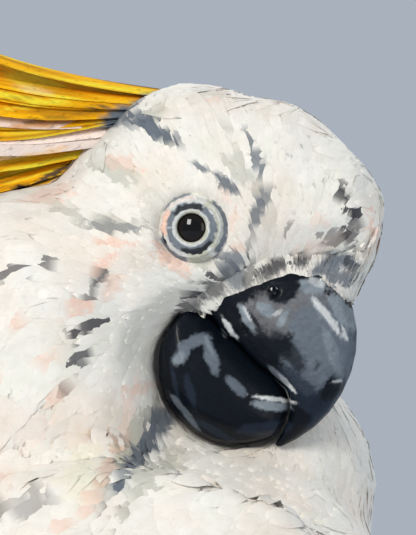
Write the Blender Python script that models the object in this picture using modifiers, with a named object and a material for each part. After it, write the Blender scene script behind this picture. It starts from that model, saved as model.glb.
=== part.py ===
"""A sulphur-crested cockatoo standing on the floor, head drawn in and turned a little to its right.

Metres, +Z up, the bird faces +X and its left side is +Y. Every form is given in millimetres, scaled by MM.
The flesh is a union of rounded masses, melted into one form and parted by thin cuts. The bill, wings, tail,
crest, legs and toes are lofts through a few stations.
"""

import math

import bmesh
import bpy
from mathutils import Matrix, Vector

MM = 0.001
GAP = 0.3  # between neighbouring solids
CLOSE_GAP = 0.4  # where a thin blade lies along its neighbour
BLADE_STATIONS = (0, 0.3, 0.6, 0.86, 0.96, 1)  # shares of a flight feather's length where it has a section
SLIVER = 0.12  # edges shorter than this are closed up
FLAT_ENOUGH = 2.0  # degrees between faces that are joined
SHARP_FROM = 40  # degrees
SHELL_LIMIT = 3.0  # how many gaps a sharp corner may move out when a piece is swollen
UP = Vector((0, 0, 1))
MILLIMETRES = Matrix.Diagonal((MM, MM, MM, 1))

# Pose of the head: where the line between the eyes crosses the middle, and how it is turned there.
HEAD_AT = Vector((72, -8, 246))
HEAD_PITCH = 41  # degrees, bill down
HEAD_YAW = -8  # degrees, towards the bird's right

# Rounded masses: centre x, y, z, half length, half width, half height, tilt in degrees (front end up).
HEAD_MASSES = {  # in the head's own frame, bill level, from the middle between the eyes
    "cranium": (-4, 0, 4, 30, 19.8, 28.5, 0),
    "crown": (6, 0, 19.5, 24.5, 17.5, 20.5, 0),
    "forehead": (13.5, 0, 24.5, 23.5, 16, 15.5, 0),
    "face": (4, 0, -7, 16, 16, 20, 0),
    "cheek_left": (-11, 9.5, -15, 20, 14.5, 21, 0),
    "cheek_right": (-11, -9.5, -15, 20, 14.5, 21, 0),
    "chin": (0, 0, -24, 13, 10.5, 9, 0),
    "occiput": (-16, 0, -6, 20, 20, 22, 0),
}
BODY_MASSES = {  # in the world frame
    "upper_neck": (30, -3, 223, 33, 33, 34, 0),
    "lower_neck": (25, 0, 196, 42, 41, 40, 0),
    "crop": (81, 16, 181, 36, 30, 37, 0),
    "crop_foot": (72, 12, 163, 43, 42, 36, 0),
    "shoulders": (2, 0, 188, 48, 43, 30, 50),
    "breast": (70, 0, 150, 51, 50, 44, 0),
    "lower_breast": (56, 0, 128, 53, 49, 48, 0),
    "mantle": (-8, 0, 162, 68, 42, 29, 45),
    "trunk": (20, 0, 132, 88, 52, 54, 36),
    "belly": (24, 0, 112, 62, 48, 46, 8),
    "rump": (-45, 0, 103, 64, 38, 34, 28),
    "tail_root": (-100, 0, 76, 52, 24, 15, 19),
}
FLESH_VOXEL = 3.2
FLESH_SMOOTH = 10
FLESH_KEEP = 0.030  # share of the melted form's triangles that stays
# x, z of the sheet that parts the head from the neck
NECK_CUT = ((-12, 270), (18, 252), (50, 212), (66, 214), (88, 229), (140, 229))
CUT_REACH = 90  # how far a sheet reaches to each side
# x, z of the sheet that parts the neck from the trunk
CHEST_CUT = ((-60, 234), (0, 202), (40, 190), (60, 197), (72, 212), (90, 225.5), (140, 225.5))

# Upper bill, in the head's frame: culmen x, z, cutting edge x, z, half width.
UPPER_BILL = (
    (17.0, 9.5, 9.5, -13.0, 10.4),
    (24.0, 12.8, 16.5, -14.6, 10.8),
    (31.5, 13.2, 23.5, -15.8, 10.7),
    (38.8, 10.4, 30.5, -16.6, 10.2),
    (45.6, 5.0, 36.5, -16.2, 9.2),
    (50.2, -2.6, 41.0, -16.0, 7.8),
    (52.4, -11.6, 44.4, -18.6, 6.0),
    (51.8, -20.2, 46.8, -22.8, 3.8),
    (49.0, -27.8, 47.6, -28.2, 1.2),
)
CERE_END = 0.235  # share of the upper bill's length that the cere covers
CERE_SWELL = 1.07
NOSTRIL = (24.2, 11.2, 0.6)  # x, y, z in the head's frame
NOSTRIL_RADIUS = 1.7
NOSTRIL_DEPTH = 1.6  # times the radius
# Lower bill, in the head's frame: cutting edge x, z, keel x, z, half width.
LOWER_BILL = (
    (10.0, -12.0, 11.4, -29.0, 9.6),
    (13.6, -12.6, 15.6, -34.4, 11.0),
    (20.0, -13.4, 21.6, -38.0, 11.2),
    (29.0, -14.0, 30.0, -39.2, 10.6),
    (36.0, -14.6, 38.0, -36.6, 9.4),
    (41.4, -16.4, 43.4, -31.4, 7.6),
    (44.6, -19.0, 46.2, -26.4, 5.6),
)
BILL_RINGS = 11
CERE_RINGS = 6
BILL_SIDES = 12
BILL_SEAM = 0.012  # share of the bill's length between the cere and the horn
EDGE_FULLNESS = 0.16  # how much wider than the ridge the bill is towards its cutting edge

EYE_RADIUS = 6.8
EYE_AT = 13.9  # the eyeball's centre, out from the middle
EYE_RING = (6.7, 2.0, 1.9)  # radius of the ring's middle, half its width, half its thickness
EYE_RING_AT = 18.9
EYE_RING_SEGMENTS = 12
SOCKET_SIDES = 14
SOCKET_DEPTH = 10

# Crest plumes in the head's frame: root x, z, length, first direction in degrees up from straight back, curl
# in degrees over the plume, half width, sideways lean in degrees.
CREST_PLUMES = (
    (-14, 29.0, 120, -37, 60, 6.6, 0),
    (-17, 28.0, 116, -42, 60, 6.6, 4),
    (-17, 28.0, 113, -44, 60, 6.6, -4),
    (-20, 26.0, 106, -50, 58, 6.4, 6),
    (-20, 26.0, 103, -52, 58, 6.4, -6),
    (-22, 24.0, 94, -59, 55, 6.2, 5),
    (-22, 24.0, 90, -61, 55, 6.2, -5),
)
CREST_BASE = (-31, 12, 15, 8.5, 6, 52)  # x, z, half length, half width, half height, slope in degrees
PLUME_ROLL = 10  # degrees that a plume rolls outwards for each degree of its lean
PLUME_THICKNESS = 1.3
PLUME_RINGS = 7

# The folded wing: its frame runs from the wrist back along the flight feathers.
WRIST = (96, 165)  # x, z
WING_SLOPE = 22.4  # degrees below level
# Distance back, then in the section: centre up, centre out, half height, half thickness, lean in degrees.
WING_FORM = (
    (-8, 0, 44, 8, 7, 4),
    (6, 3, 46.5, 24, 11, 8),
    (34, 9, 47, 36, 14, 15),
    (72, 13, 44, 41, 15, 22),
    (112, 15, 38, 42, 14, 28),
    (154, 15, 31, 38, 12, 32),
    (196, 14, 24, 31, 9, 35),
    (236, 13, 18, 23, 6.5, 36),
    (262, 12, 14.5, 14, 4, 36),
)
WING_RINGS = 13
WING_SIDES = 10
COVERT_CUT = 104  # distance back where the coverts end
# Primaries: tip distance back, tip up, tip out, half width.
PRIMARIES = (
    (332, 9, 9.0, 11.0),
    (337, 13, 10.3, 11.5),
    (331, 17, 11.6, 11.5),
    (315, 20.5, 13.0, 11.5),
    (292, 24, 14.4, 11.5),
)
PRIMARY_ROOT = (120, 4, 34)  # distance back, up, out
PRIMARY_THICKNESS = 1.7
PRIMARY_BOW = 4  # how far its middle swings out

# Tail: twelve feathers fanned from one root.
TAIL_ROOT = (-84, 82)  # x, z of the middle pair's root
TAIL_LENGTH = 214
TAIL_SLOPE = (23.5, 12.0)  # degrees below level at the root and at the tip
TAIL_PAIRS = 6
TAIL_SPREAD = 1.05  # degrees between one feather and the next
TAIL_STEP = 0.85  # each pair lies this much lower than the pair inside it
TAIL_SHORTER = 0.9  # millimetres, times the square of the pair's number
TAIL_ROOT_STEP = 2.2  # between one root and the next, sideways
TAIL_WIDTH = 20  # half a feather's width
TAIL_THICKNESS = 1.9
TAIL_SIDES = 4

# Legs, for the left side: points as x, y, z and the radius there.
THIGH = ((22, 25, 92, 22), (17, 27, 72, 19), (8, 27, 52, 13), (1, 26, 36, 7.6))
TARSUS = ((-1, 26, 38, 5.2), (-0.5, 26, 31, 5.6), (6, 25.4, 21, 4.7), (14, 25, 12, 5.0), (19, 25, 7, 5.4))
FOOT_AT = (19, 25)
# Toes: length, heading in degrees from straight ahead, outwards positive, then the claw's length.
TOES = {
    "toe_front_inner": (25, -16, 12.5),
    "toe_front_outer": (38, 14, 14.5),
    "toe_back_inner": (18, 196, 10.5),
    "toe_back_outer": (34, 152, 14.0),
}
TOE_RADIUS = (4.5, 3.1)  # at the root and at the tip
TOE_SINK = 0.55  # how far the round underside is cut off by the floor
TOE_GAP = 0.8
TOE_START = 4.5  # from the middle of the foot
TOE_KNUCKLE = 0.09  # how much a knuckle swells
CLAW_RADIUS = 2.3
LIMB_RINGS = 7
LIMB_SIDES = 7


def head_frame():
    """World matrix, in millimetres, of the head's own frame."""
    turn = Matrix.Rotation(math.radians(HEAD_YAW), 4, "Z") @ Matrix.Rotation(math.radians(HEAD_PITCH), 4, "Y")
    return Matrix.Translation(HEAD_AT) @ turn


def make_collections():
    for obj in list(bpy.data.objects):
        bpy.data.objects.remove(obj)
    found = []
    for name in ("cockatoo", "cutters"):
        collection = bpy.data.collections.new(name)
        bpy.context.scene.collection.children.link(collection)
        found.append(collection)
    return found


def material(name, colour, roughness, metallic=0.0):
    made = bpy.data.materials.new(name)
    made.use_nodes = True
    shader = made.node_tree.nodes["Principled BSDF"]
    shader.inputs["Base Color"].default_value = (*colour, 1)
    shader.inputs["Roughness"].default_value = roughness
    shader.inputs["Metallic"].default_value = metallic
    made.diffuse_color = (*colour, 1)
    return made


def add_object(name, mesh, collection):
    obj = bpy.data.objects.new(name, mesh)
    collection.objects.link(obj)
    return obj


def mesh_from(bm, name, tidy=True):
    if tidy:
        bmesh.ops.recalc_face_normals(bm, faces=bm.faces)
    mesh = bpy.data.meshes.new(name)
    bm.to_mesh(mesh)
    bm.free()
    return mesh


def evaluated_mesh(obj):
    """The object's mesh with its modifiers applied."""
    bpy.context.view_layer.update()
    return bpy.data.meshes.new_from_object(obj.evaluated_get(bpy.context.evaluated_depsgraph_get()))


def apply_modifiers(obj):
    mesh = evaluated_mesh(obj)
    obj.modifiers.clear()
    obj.data = mesh


def spline(rows, share):
    """A smooth curve through rows of numbers, read at a share of the way, 0 to 1 (Catmull-Rom)."""
    at = share * (len(rows) - 1)
    i = min(int(at), len(rows) - 2)
    t = at - i
    p = [rows[max(0, min(len(rows) - 1, j))] for j in (i - 1, i, i + 1, i + 2)]
    return [
        b + 0.5 * t * (c - a + t * (2 * a - 5 * b + 4 * c - d + t * (3 * (b - c) + d - a)))
        for a, b, c, d in zip(*p)
    ]


def loft(name, rings):
    """A closed mesh through rings of points in millimetres, with a flat cap at each end."""
    bm = bmesh.new()
    rows = [[bm.verts.new(Vector(point) * MM) for point in ring] for ring in rings]
    for row, after in zip(rows, rows[1:]):
        for i in range(len(row)):
            j = (i + 1) % len(row)
            bm.faces.new((row[i], row[j], after[j], after[i]))
    bm.faces.new(rows[0])
    bm.faces.new(rows[-1])
    return mesh_from(bm, name)


def ring_around(centre, across, along, half_across, half_along, sides, power=2.0):
    """A superellipse of points about centre, in the plane of two unit vectors."""
    points = []
    for i in range(sides):
        angle = 2 * math.pi * (i + 0.5) / sides
        c, s = math.cos(angle), math.sin(angle)
        x = math.copysign(abs(c) ** (2 / power), c) * half_across
        z = math.copysign(abs(s) ** (2 / power), s) * half_along
        points.append(centre + across * x + along * z)
    return points


def tube(name, stations, steps, sides=10):
    """A round tapering limb through stations of x, y, z and radius."""
    rows = [spline(stations, i / (steps - 1)) for i in range(steps)]
    points = [Vector(row[:3]) for row in rows]
    rings = []
    for i, row in enumerate(rows):
        ahead = (points[min(i + 1, steps - 1)] - points[max(i - 1, 0)]).normalized()
        across = ahead.cross(UP)
        across = Vector((0, 1, 0)) if across.length < 0.2 else across.normalized()
        rings.append(ring_around(points[i], across, across.cross(ahead), row[3], row[3], sides))
    return loft(name, rings)


def blade(name, points, facing, half_width, half_thickness, root_share, round_from, sides=6):
    """A flight feather: a flat loft along points, its flat side facing the given way, its tip rounded."""
    rings = []
    last = len(points) - 1
    lengths = [(after - before).length for before, after in zip(points, points[1:])]
    for i, point in enumerate(points):
        t = sum(lengths[:i]) / sum(lengths)
        ahead = (points[min(i + 1, last)] - points[max(i - 1, 0)]).normalized()
        across = ahead.cross(facing).normalized()
        swell = root_share + (1 - root_share) * min(1.0, t / 0.4)
        rounding = 1.0
        if t > round_from:
            rounding = max(0.12, math.sqrt(1 - ((t - round_from) / (1.004 - round_from)) ** 2))
        thick = half_thickness * (0.55 + 0.45 * rounding)
        wide = half_width * swell * rounding
        rings.append(ring_around(point, across, across.cross(ahead), wide, thick, sides))
    return loft(name, rings)


def masses_mesh(name, groups):
    """One mesh of overlapping ellipsoids. groups is a list of (frame matrix, masses)."""
    bm = bmesh.new()
    for frame, masses in groups:
        for x, y, z, length, width, height, tilt in masses.values():
            place = Matrix.Translation((x, y, z)) @ Matrix.Rotation(math.radians(-tilt), 4, "Y")
            shape = Matrix.Diagonal((length, width, height, 1))
            bmesh.ops.create_uvsphere(
                bm, u_segments=32, v_segments=20, radius=1, matrix=MILLIMETRES @ frame @ place @ shape
            )
    return mesh_from(bm, name, tidy=False)


def melt(obj, voxel, smooth, keep):
    """Melts overlapping masses into one smooth closed form with few triangles."""
    remesh = obj.modifiers.new("melt", "REMESH")
    remesh.mode = "VOXEL"
    remesh.voxel_size = voxel * MM
    relax = obj.modifiers.new("relax", "SMOOTH")
    relax.factor = 0.5
    relax.iterations = smooth
    thin = obj.modifiers.new("thin", "DECIMATE")
    thin.ratio = keep
    apply_modifiers(obj)


def grown(obj, cutters, by=GAP):
    """A copy of obj, swollen evenly by a gap, for cutting its neighbours."""
    bm = bmesh.new()
    bm.from_mesh(obj.data)
    bm.normal_update()
    moves = [vert.normal * (by * MM * min(SHELL_LIMIT, vert.calc_shell_factor())) for vert in bm.verts]
    for vert, move in zip(bm.verts, moves):
        vert.co += move
    copy = add_object(obj.name + "_grown", mesh_from(bm, obj.name, tidy=False), cutters)
    copy.hide_render = True
    copy.display_type = "WIRE"
    return copy


def volume_if_closed(mesh):
    """The mesh's volume, or nothing where it isn't a closed surface."""
    bm = bmesh.new()
    bm.from_mesh(mesh)
    closed = bool(bm.faces) and all(len(edge.link_faces) == 2 for edge in bm.edges)
    volume = bm.calc_volume(signed=True) if closed else 0.0
    bm.free()
    return volume


def boolean(obj, other, operation="DIFFERENCE"):
    """Applies a Boolean with the exact solver, or with the manifold one where that loses the piece."""
    before = volume_if_closed(obj.data)
    least = 0.999 * max(before, volume_if_closed(other.data)) if operation == "UNION" else 0.02 * before
    for solver in ("EXACT", "MANIFOLD"):
        cut = obj.modifiers.new(operation.lower(), "BOOLEAN")
        cut.operation = operation
        cut.solver = solver
        cut.object = other
        mesh = evaluated_mesh(obj)
        obj.modifiers.clear()
        if volume_if_closed(mesh) > least:
            obj.data = mesh
            return
    raise ValueError(f"{operation} of {obj.name} and {other.name} found nothing")


def loose_parts(mesh):
    """The mesh's separate bodies, largest first."""
    bm = bmesh.new()
    bm.from_mesh(mesh)
    left = set(bm.verts)
    groups = []
    while left:
        stack = [left.pop()]
        group = set(stack)
        while stack:
            for edge in stack.pop().link_edges:
                for vert in edge.verts:
                    if vert in left:
                        left.discard(vert)
                        group.add(vert)
                        stack.append(vert)
        groups.append({vert.index for vert in group})
    bm.free()
    parts = []
    for keep in groups:
        bm = bmesh.new()
        bm.from_mesh(mesh)
        bmesh.ops.delete(bm, geom=[v for v in bm.verts if v.index not in keep], context="VERTS")
        parts.append(mesh_from(bm, mesh.name, tidy=False))
    parts.sort(key=volume_if_closed, reverse=True)
    return parts


def clear_slivers(obj):
    """Joins the slivers that cuts leave: flat neighbours become one face, edges too short to see close up."""
    volume = volume_if_closed(obj.data)
    for sliver, angle in ((SLIVER, FLAT_ENOUGH), (0.0, FLAT_ENOUGH), (0.0, FLAT_ENOUGH / 2)):
        bm = bmesh.new()
        bm.from_mesh(obj.data)
        if sliver:
            bmesh.ops.dissolve_degenerate(bm, dist=sliver * MM, edges=bm.edges)
        bmesh.ops.dissolve_limit(bm, angle_limit=math.radians(angle), verts=bm.verts, edges=bm.edges)
        bmesh.ops.triangulate(bm, faces=bm.faces)
        mesh = mesh_from(bm, obj.name, tidy=False)
        if 0.995 * volume < volume_if_closed(mesh) < 1.005 * volume:
            obj.data = mesh
            return


def keep_largest(obj):
    """Drops the crumbs of a cut and tidies what stays."""
    obj.data = loose_parts(obj.data)[0]
    clear_slivers(obj)


def cut_below_floor(obj):
    """Leaves a flat where the piece rests: what is under the floor goes."""
    bm = bmesh.new()
    bm.from_mesh(obj.data)
    geometry = bm.verts[:] + bm.edges[:] + bm.faces[:]
    found = bmesh.ops.bisect_plane(
        bm, geom=geometry, dist=1e-6, plane_co=(0, 0, 0), plane_no=(0, 0, 1), clear_inner=True
    )
    rim = [e for e in found["geom_cut"] if isinstance(e, bmesh.types.BMEdge)]
    if rim:
        bmesh.ops.holes_fill(bm, edges=[e for e in bm.edges if e.is_boundary], sides=0)
    obj.data = mesh_from(bm, obj.name)


def cut_sheet(name, line, cutters):
    """A thin upright sheet through a line of x, z points, as wide as the bird: the knife of a thin cut."""
    curve = bpy.data.curves.new(name, "CURVE")
    curve.dimensions = "2D"
    curve.fill_mode = "NONE"
    curve.extrude = CUT_REACH * MM
    route = curve.splines.new("POLY")
    route.points.add(len(line) - 1)
    for point, (x, z) in zip(route.points, line):
        point.co = (x * MM, z * MM, 0, 1)
    ribbon = add_object(name + "_line", curve, cutters)
    ribbon.rotation_euler = (math.pi / 2, 0, 0)
    sheet = add_object(name, evaluated_mesh(ribbon), cutters)
    bpy.context.view_layer.update()
    sheet.data.transform(ribbon.matrix_world)
    bpy.data.objects.remove(ribbon)
    wall = sheet.modifiers.new("wall", "SOLIDIFY")
    wall.thickness = GAP * MM
    wall.offset = 0
    sheet.hide_render = True
    return sheet


def mirror_left(mesh, name):
    """The right-hand twin of a left-hand mesh."""
    twin = mesh.copy()
    twin.name = name
    twin.transform(Matrix.Diagonal((1, -1, 1, 1)))
    twin.flip_normals()
    return twin


# ---- flesh ----


def make_flesh(parts, cutters):
    """Head, neck and trunk: one melted form, parted by two thin cuts."""
    frame = head_frame()
    whole = add_object(
        "flesh", masses_mesh("flesh", [(frame, HEAD_MASSES), (Matrix.Identity(4), BODY_MASSES)]), cutters
    )
    melt(whole, FLESH_VOXEL, FLESH_SMOOTH, FLESH_KEEP)
    for name, line in (("neck_cut", NECK_CUT), ("chest_cut", CHEST_CUT)):
        boolean(whole, cut_sheet(name, line, cutters))
    pieces = loose_parts(whole.data)[:3]
    pieces.sort(key=lambda mesh: sum(v.co.z for v in mesh.vertices) / len(mesh.vertices))
    bpy.data.objects.remove(whole)
    flesh = {name: add_object(name, mesh, parts) for name, mesh in zip(("trunk", "neck", "head"), pieces)}
    for piece in flesh.values():
        clear_slivers(piece)
    return flesh


# ---- bill, eyes ----


def bill_ring(frame, row, low_power, swell=1.0):
    """A section of the bill: rounded along the ridge, fuller towards the cutting edge."""
    ridge = Vector((row[0], 0, row[1]))
    edge = Vector((row[2], 0, row[3]))
    centre = (ridge + edge) / 2
    depth = (ridge - edge).length / 2
    along = (ridge - edge).normalized()
    points = []
    for i in range(BILL_SIDES):
        angle = 2 * math.pi * i / BILL_SIDES
        c, s = math.cos(angle), math.sin(angle)
        fullness = 1 - EDGE_FULLNESS * c
        power = 2 / (2.0 if c > 0 else low_power)
        out = math.copysign(abs(s) ** power, s) * row[4] * fullness
        points.append(frame @ (centre + along * (depth * c * swell) + Vector((0, out * swell, 0))))
    return points


def bill_loft(name, frame, rows, first, last, low_power, swell=1.0, count=BILL_RINGS):
    rings = []
    for i in range(count):
        share = first + (last - first) * i / (count - 1)
        rings.append(bill_ring(frame, spline(rows, share), low_power, swell))
    return loft(name, rings)


def make_bill(parts, cutters):
    frame = head_frame()
    mesh = bill_loft("cere", frame, UPPER_BILL, 0.0, CERE_END, 3.0, CERE_SWELL, CERE_RINGS)
    cere = add_object("cere", mesh, parts)
    for side in (1, -1):
        x, y, z = NOSTRIL
        pit = bpy.data.meshes.new("nostril_pit")
        bm = bmesh.new()
        place = Matrix.Translation((x, y * side, z)) @ Matrix.Diagonal((1, NOSTRIL_DEPTH, 1.15, 1))
        bmesh.ops.create_icosphere(
            bm, subdivisions=1, radius=NOSTRIL_RADIUS, matrix=MILLIMETRES @ frame @ place
        )
        bm.to_mesh(pit)
        bm.free()
        nostril = add_object("nostril_pit", pit, cutters)
        nostril.hide_render = True
        boolean(cere, nostril)
    upper = add_object(
        "bill_upper", bill_loft("bill_upper", frame, UPPER_BILL, CERE_END + BILL_SEAM, 1.0, 3.0), parts
    )
    lower = add_object("bill_lower", bill_loft("bill_lower", frame, LOWER_BILL, 0.0, 1.0, 2.2), parts)
    for neighbour in (upper, cere):
        boolean(lower, grown(neighbour, cutters, CLOSE_GAP))
    keep_largest(lower)
    return {"cere": cere, "bill_upper": upper, "bill_lower": lower}


def make_eyes(parts, cutters):
    """The eyeballs, each in a ring of bare skin. Returns the cutters of their sockets."""
    frame = head_frame()
    made = []
    for side, word in ((1, "left"), (-1, "right")):
        bm = bmesh.new()
        place = MILLIMETRES @ frame @ Matrix.Translation((0, EYE_AT * side, 0))
        turn = Matrix.Rotation(math.pi / 2, 4, "X")
        bmesh.ops.create_uvsphere(bm, u_segments=12, v_segments=8, radius=EYE_RADIUS, matrix=place @ turn)
        eye = add_object(f"eye_{word}", mesh_from(bm, f"eye_{word}"), parts)
        middle, half_width, half_thickness = EYE_RING
        rings = []
        for i in range(EYE_RING_SEGMENTS):
            angle = 2 * math.pi * i / EYE_RING_SEGMENTS
            out = Vector((math.cos(angle), 0, math.sin(angle)))
            centre = out * middle + Vector((0, EYE_RING_AT * side, 0))
            rings.append(ring_around(centre, out, Vector((0, 1, 0)), half_width, half_thickness, 6))
        bm = bmesh.new()
        rows = [[bm.verts.new((frame @ point) * MM) for point in ring] for ring in rings]
        for row, after in zip(rows, rows[1:] + rows[:1]):
            for i in range(6):
                j = (i + 1) % 6
                bm.faces.new((row[i], row[j], after[j], after[i]))
        ring = add_object(f"eye_ring_{word}", mesh_from(bm, f"eye_ring_{word}"), parts)
        boolean(ring, grown(eye, cutters))
        keep_largest(ring)
        bm = bmesh.new()
        wide = (middle + half_width + GAP) / math.cos(math.pi / SOCKET_SIDES)
        middle_out = EYE_RING_AT - half_thickness - GAP + SOCKET_DEPTH / 2
        place = MILLIMETRES @ frame @ Matrix.Translation((0, middle_out * side, 0)) @ turn
        bmesh.ops.create_cone(
            bm,
            cap_ends=True,
            segments=SOCKET_SIDES,
            radius1=wide,
            radius2=wide,
            depth=SOCKET_DEPTH,
            matrix=place,
        )
        socket = add_object(f"socket_{word}", mesh_from(bm, f"socket_{word}"), cutters)
        socket.hide_render = True
        made += [grown(eye, cutters), socket]
    return made


# ---- crest ----


def plume_points(frame, root_x, root_z, length, heading, curl, lean):
    """The plume leaves the crown along its heading, follows the nape and curls up towards its tip."""
    point = Vector((root_x, 0, root_z))
    step = length / (PLUME_RINGS - 1)
    points = []
    for i in range(PLUME_RINGS):
        t = i / (PLUME_RINGS - 1)
        points.append(frame @ point)
        angle = math.radians(heading + curl * t**1.8)
        side = math.sin(math.radians(lean)) * (1 - 0.4 * t)
        point = point + Vector((-math.cos(angle), side, math.sin(angle))) * step
    return points


def make_crest(parts, cutters, head):
    """Long narrow plumes, rooted along the crown and joined where they lie on each other."""
    frame = head_frame()
    turn = frame.to_3x3()
    x, z, length, width, height, slope = CREST_BASE
    bm = bmesh.new()
    place = Matrix.Translation((x, 0, z)) @ Matrix.Rotation(math.radians(-slope), 4, "Y")
    shape = Matrix.Diagonal((length, width, height, 1))
    bmesh.ops.create_uvsphere(
        bm, u_segments=8, v_segments=6, radius=1, matrix=MILLIMETRES @ frame @ place @ shape
    )
    crest = add_object("crest", mesh_from(bm, "crest"), parts)
    for number, (x, z, length, heading, curl, half_width, lean) in enumerate(CREST_PLUMES):
        points = plume_points(frame, x, z, length, heading, curl, lean)
        roll = math.radians(PLUME_ROLL * lean)
        facing = turn @ Vector((0.3, math.sin(roll), math.cos(roll)))
        mesh = blade("plume", points, facing, half_width, PLUME_THICKNESS, 0.6, 0.62)
        plume = add_object(f"plume_{number}", mesh, cutters)
        plume.hide_render = True
        boolean(crest, plume, "UNION")
    boolean(crest, grown(head, cutters, CLOSE_GAP))
    keep_largest(crest)
    return crest


# ---- wings ----


def wing_point(back, up, out):
    slope = math.radians(WING_SLOPE)
    x = WRIST[0] - back * math.cos(slope) - up * math.sin(slope)
    z = WRIST[1] - back * math.sin(slope) + up * math.cos(slope)
    return Vector((x, out, z))


def wing_axes(lean):
    slope = math.radians(WING_SLOPE)
    up = Vector((-math.sin(slope), 0, math.cos(slope)))
    turn = math.radians(lean)
    tall = up * math.cos(turn) - Vector((0, 1, 0)) * math.sin(turn)
    return tall, up * math.sin(turn) + Vector((0, 1, 0)) * math.cos(turn)


def make_wing(parts, cutters, body):
    """The left wing: coverts and secondaries from one leaning loft over the trunk, then the primaries."""
    rings = []
    for i in range(WING_RINGS):
        back, up, out, tall, thick, lean = spline(WING_FORM, i / (WING_RINGS - 1))
        along, across = wing_axes(lean)
        centre = wing_point(back, up, out)
        rings.append(ring_around(centre, across, along, max(thick, 2), max(tall, 3), WING_SIDES))
    form = add_object("wing_form", loft("wing_form", rings), cutters)
    for neighbour in body:
        boolean(form, grown(neighbour, cutters))
    keep_largest(form)
    top = wing_point(COVERT_CUT - 26, 90, 0)
    low = wing_point(COVERT_CUT + 14, -40, 0)
    middle = wing_point(COVERT_CUT + 4, 20, 0)
    line = ((top.x, top.z), (middle.x, middle.z), (low.x, low.z))
    boolean(form, cut_sheet("covert_cut", line, cutters))
    halves = loose_parts(form.data)[:2]
    halves.sort(key=lambda mesh: -sum(v.co.x for v in mesh.vertices) / len(mesh.vertices))
    bpy.data.objects.remove(form)
    made = {
        "wing_coverts": add_object("wing_coverts_left", halves[0], parts),
        "secondaries": add_object("secondaries_left", halves[1], parts),
    }
    primaries = None
    root = wing_point(*PRIMARY_ROOT)
    for number, (back, up, out, half_width) in enumerate(PRIMARIES):
        tip = wing_point(back, up, out)
        start = root + (wing_point(0, up, 0) - wing_point(0, 0, 0)) * 0.6
        points = []
        for t in BLADE_STATIONS:
            points.append(start.lerp(tip, t) + Vector((0, PRIMARY_BOW * math.sin(math.pi * t), 0)))
        mesh = blade("primary", points, Vector((0, 0.8, 0.6)), half_width, PRIMARY_THICKNESS, 0.8, 0.86)
        if primaries is None:
            primaries = add_object("primaries_left", mesh, parts)
        else:
            feather = add_object(f"primary_{number}", mesh, cutters)
            feather.hide_render = True
            boolean(primaries, feather, "UNION")
    for neighbour in [*body, made["secondaries"], made["wing_coverts"]]:
        boolean(primaries, grown(neighbour, cutters, CLOSE_GAP))
    keep_largest(primaries)
    made["primaries"] = primaries
    return made


# ---- tail ----


def tail_points(number, side):
    """A tail feather's middle line: it leaves steeply and levels out towards its tip."""
    heading = math.radians(TAIL_SPREAD * (number + 0.5) * side)
    length = TAIL_LENGTH - TAIL_SHORTER * number**2
    root = Vector((TAIL_ROOT[0], TAIL_ROOT_STEP * (number + 0.5) * side, TAIL_ROOT[1] - TAIL_STEP * number))
    points = []
    for t in BLADE_STATIONS:
        down = math.radians(TAIL_SLOPE[0] + (TAIL_SLOPE[1] - TAIL_SLOPE[0]) * t / 2)
        way = Vector((-math.cos(down) * math.cos(heading), math.sin(heading), -math.sin(down)))
        points.append(root + way * (length * t))
    return points


def make_tail(parts, cutters, neighbours):
    tail = None
    for number in range(TAIL_PAIRS):
        for side in (1, -1):
            points = tail_points(number, side)
            mesh = blade("rectrix", points, UP, TAIL_WIDTH, TAIL_THICKNESS, 0.5, 0.86, TAIL_SIDES)
            if tail is None:
                tail = add_object("tail", mesh, parts)
            else:
                feather = add_object(f"rectrix_{number}", mesh, cutters)
                feather.hide_render = True
                boolean(tail, feather, "UNION")
    for neighbour in neighbours:
        boolean(tail, grown(neighbour, cutters, CLOSE_GAP))
    keep_largest(tail)
    cut_below_floor(tail)
    return tail


# ---- legs ----


def toe_stations(length, heading):
    """A toe lies flat, with a knuckle or two, and rises a little to meet the foot."""
    turn = math.radians(heading)
    ahead = Vector((math.cos(turn), math.sin(turn), 0))
    start = Vector((*FOOT_AT, 0)) + ahead * TOE_START
    rows = []
    for i in range(LIMB_RINGS + 2):
        t = i / (LIMB_RINGS + 1)
        radius = TOE_RADIUS[0] + (TOE_RADIUS[1] - TOE_RADIUS[0]) * t
        radius *= 1 + TOE_KNUCKLE * math.cos(2 * math.pi * t * round(length / 11))
        lift = 2.6 * (1 - t) ** 3
        spot = start + ahead * (length - TOE_START) * t
        rows.append((spot.x, spot.y, radius - TOE_SINK + lift, radius))
    return rows, ahead


def claw_stations(end, ahead, length):
    """A claw arches up out of the toe and comes down to a point just clear of the floor."""
    rows = []
    for i in range(LIMB_RINGS):
        t = i / (LIMB_RINGS - 1)
        spot = Vector(end[:3]) + ahead * (length * (t - 0.1))
        height = end[2] + 0.6 + 2.6 * math.sin(math.pi * min(1.0, t * 0.9)) - 3.0 * t**2
        rows.append((spot.x, spot.y, max(height, 0.9), max(0.35, CLAW_RADIUS * (1 - t) ** 0.75)))
    return rows


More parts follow.
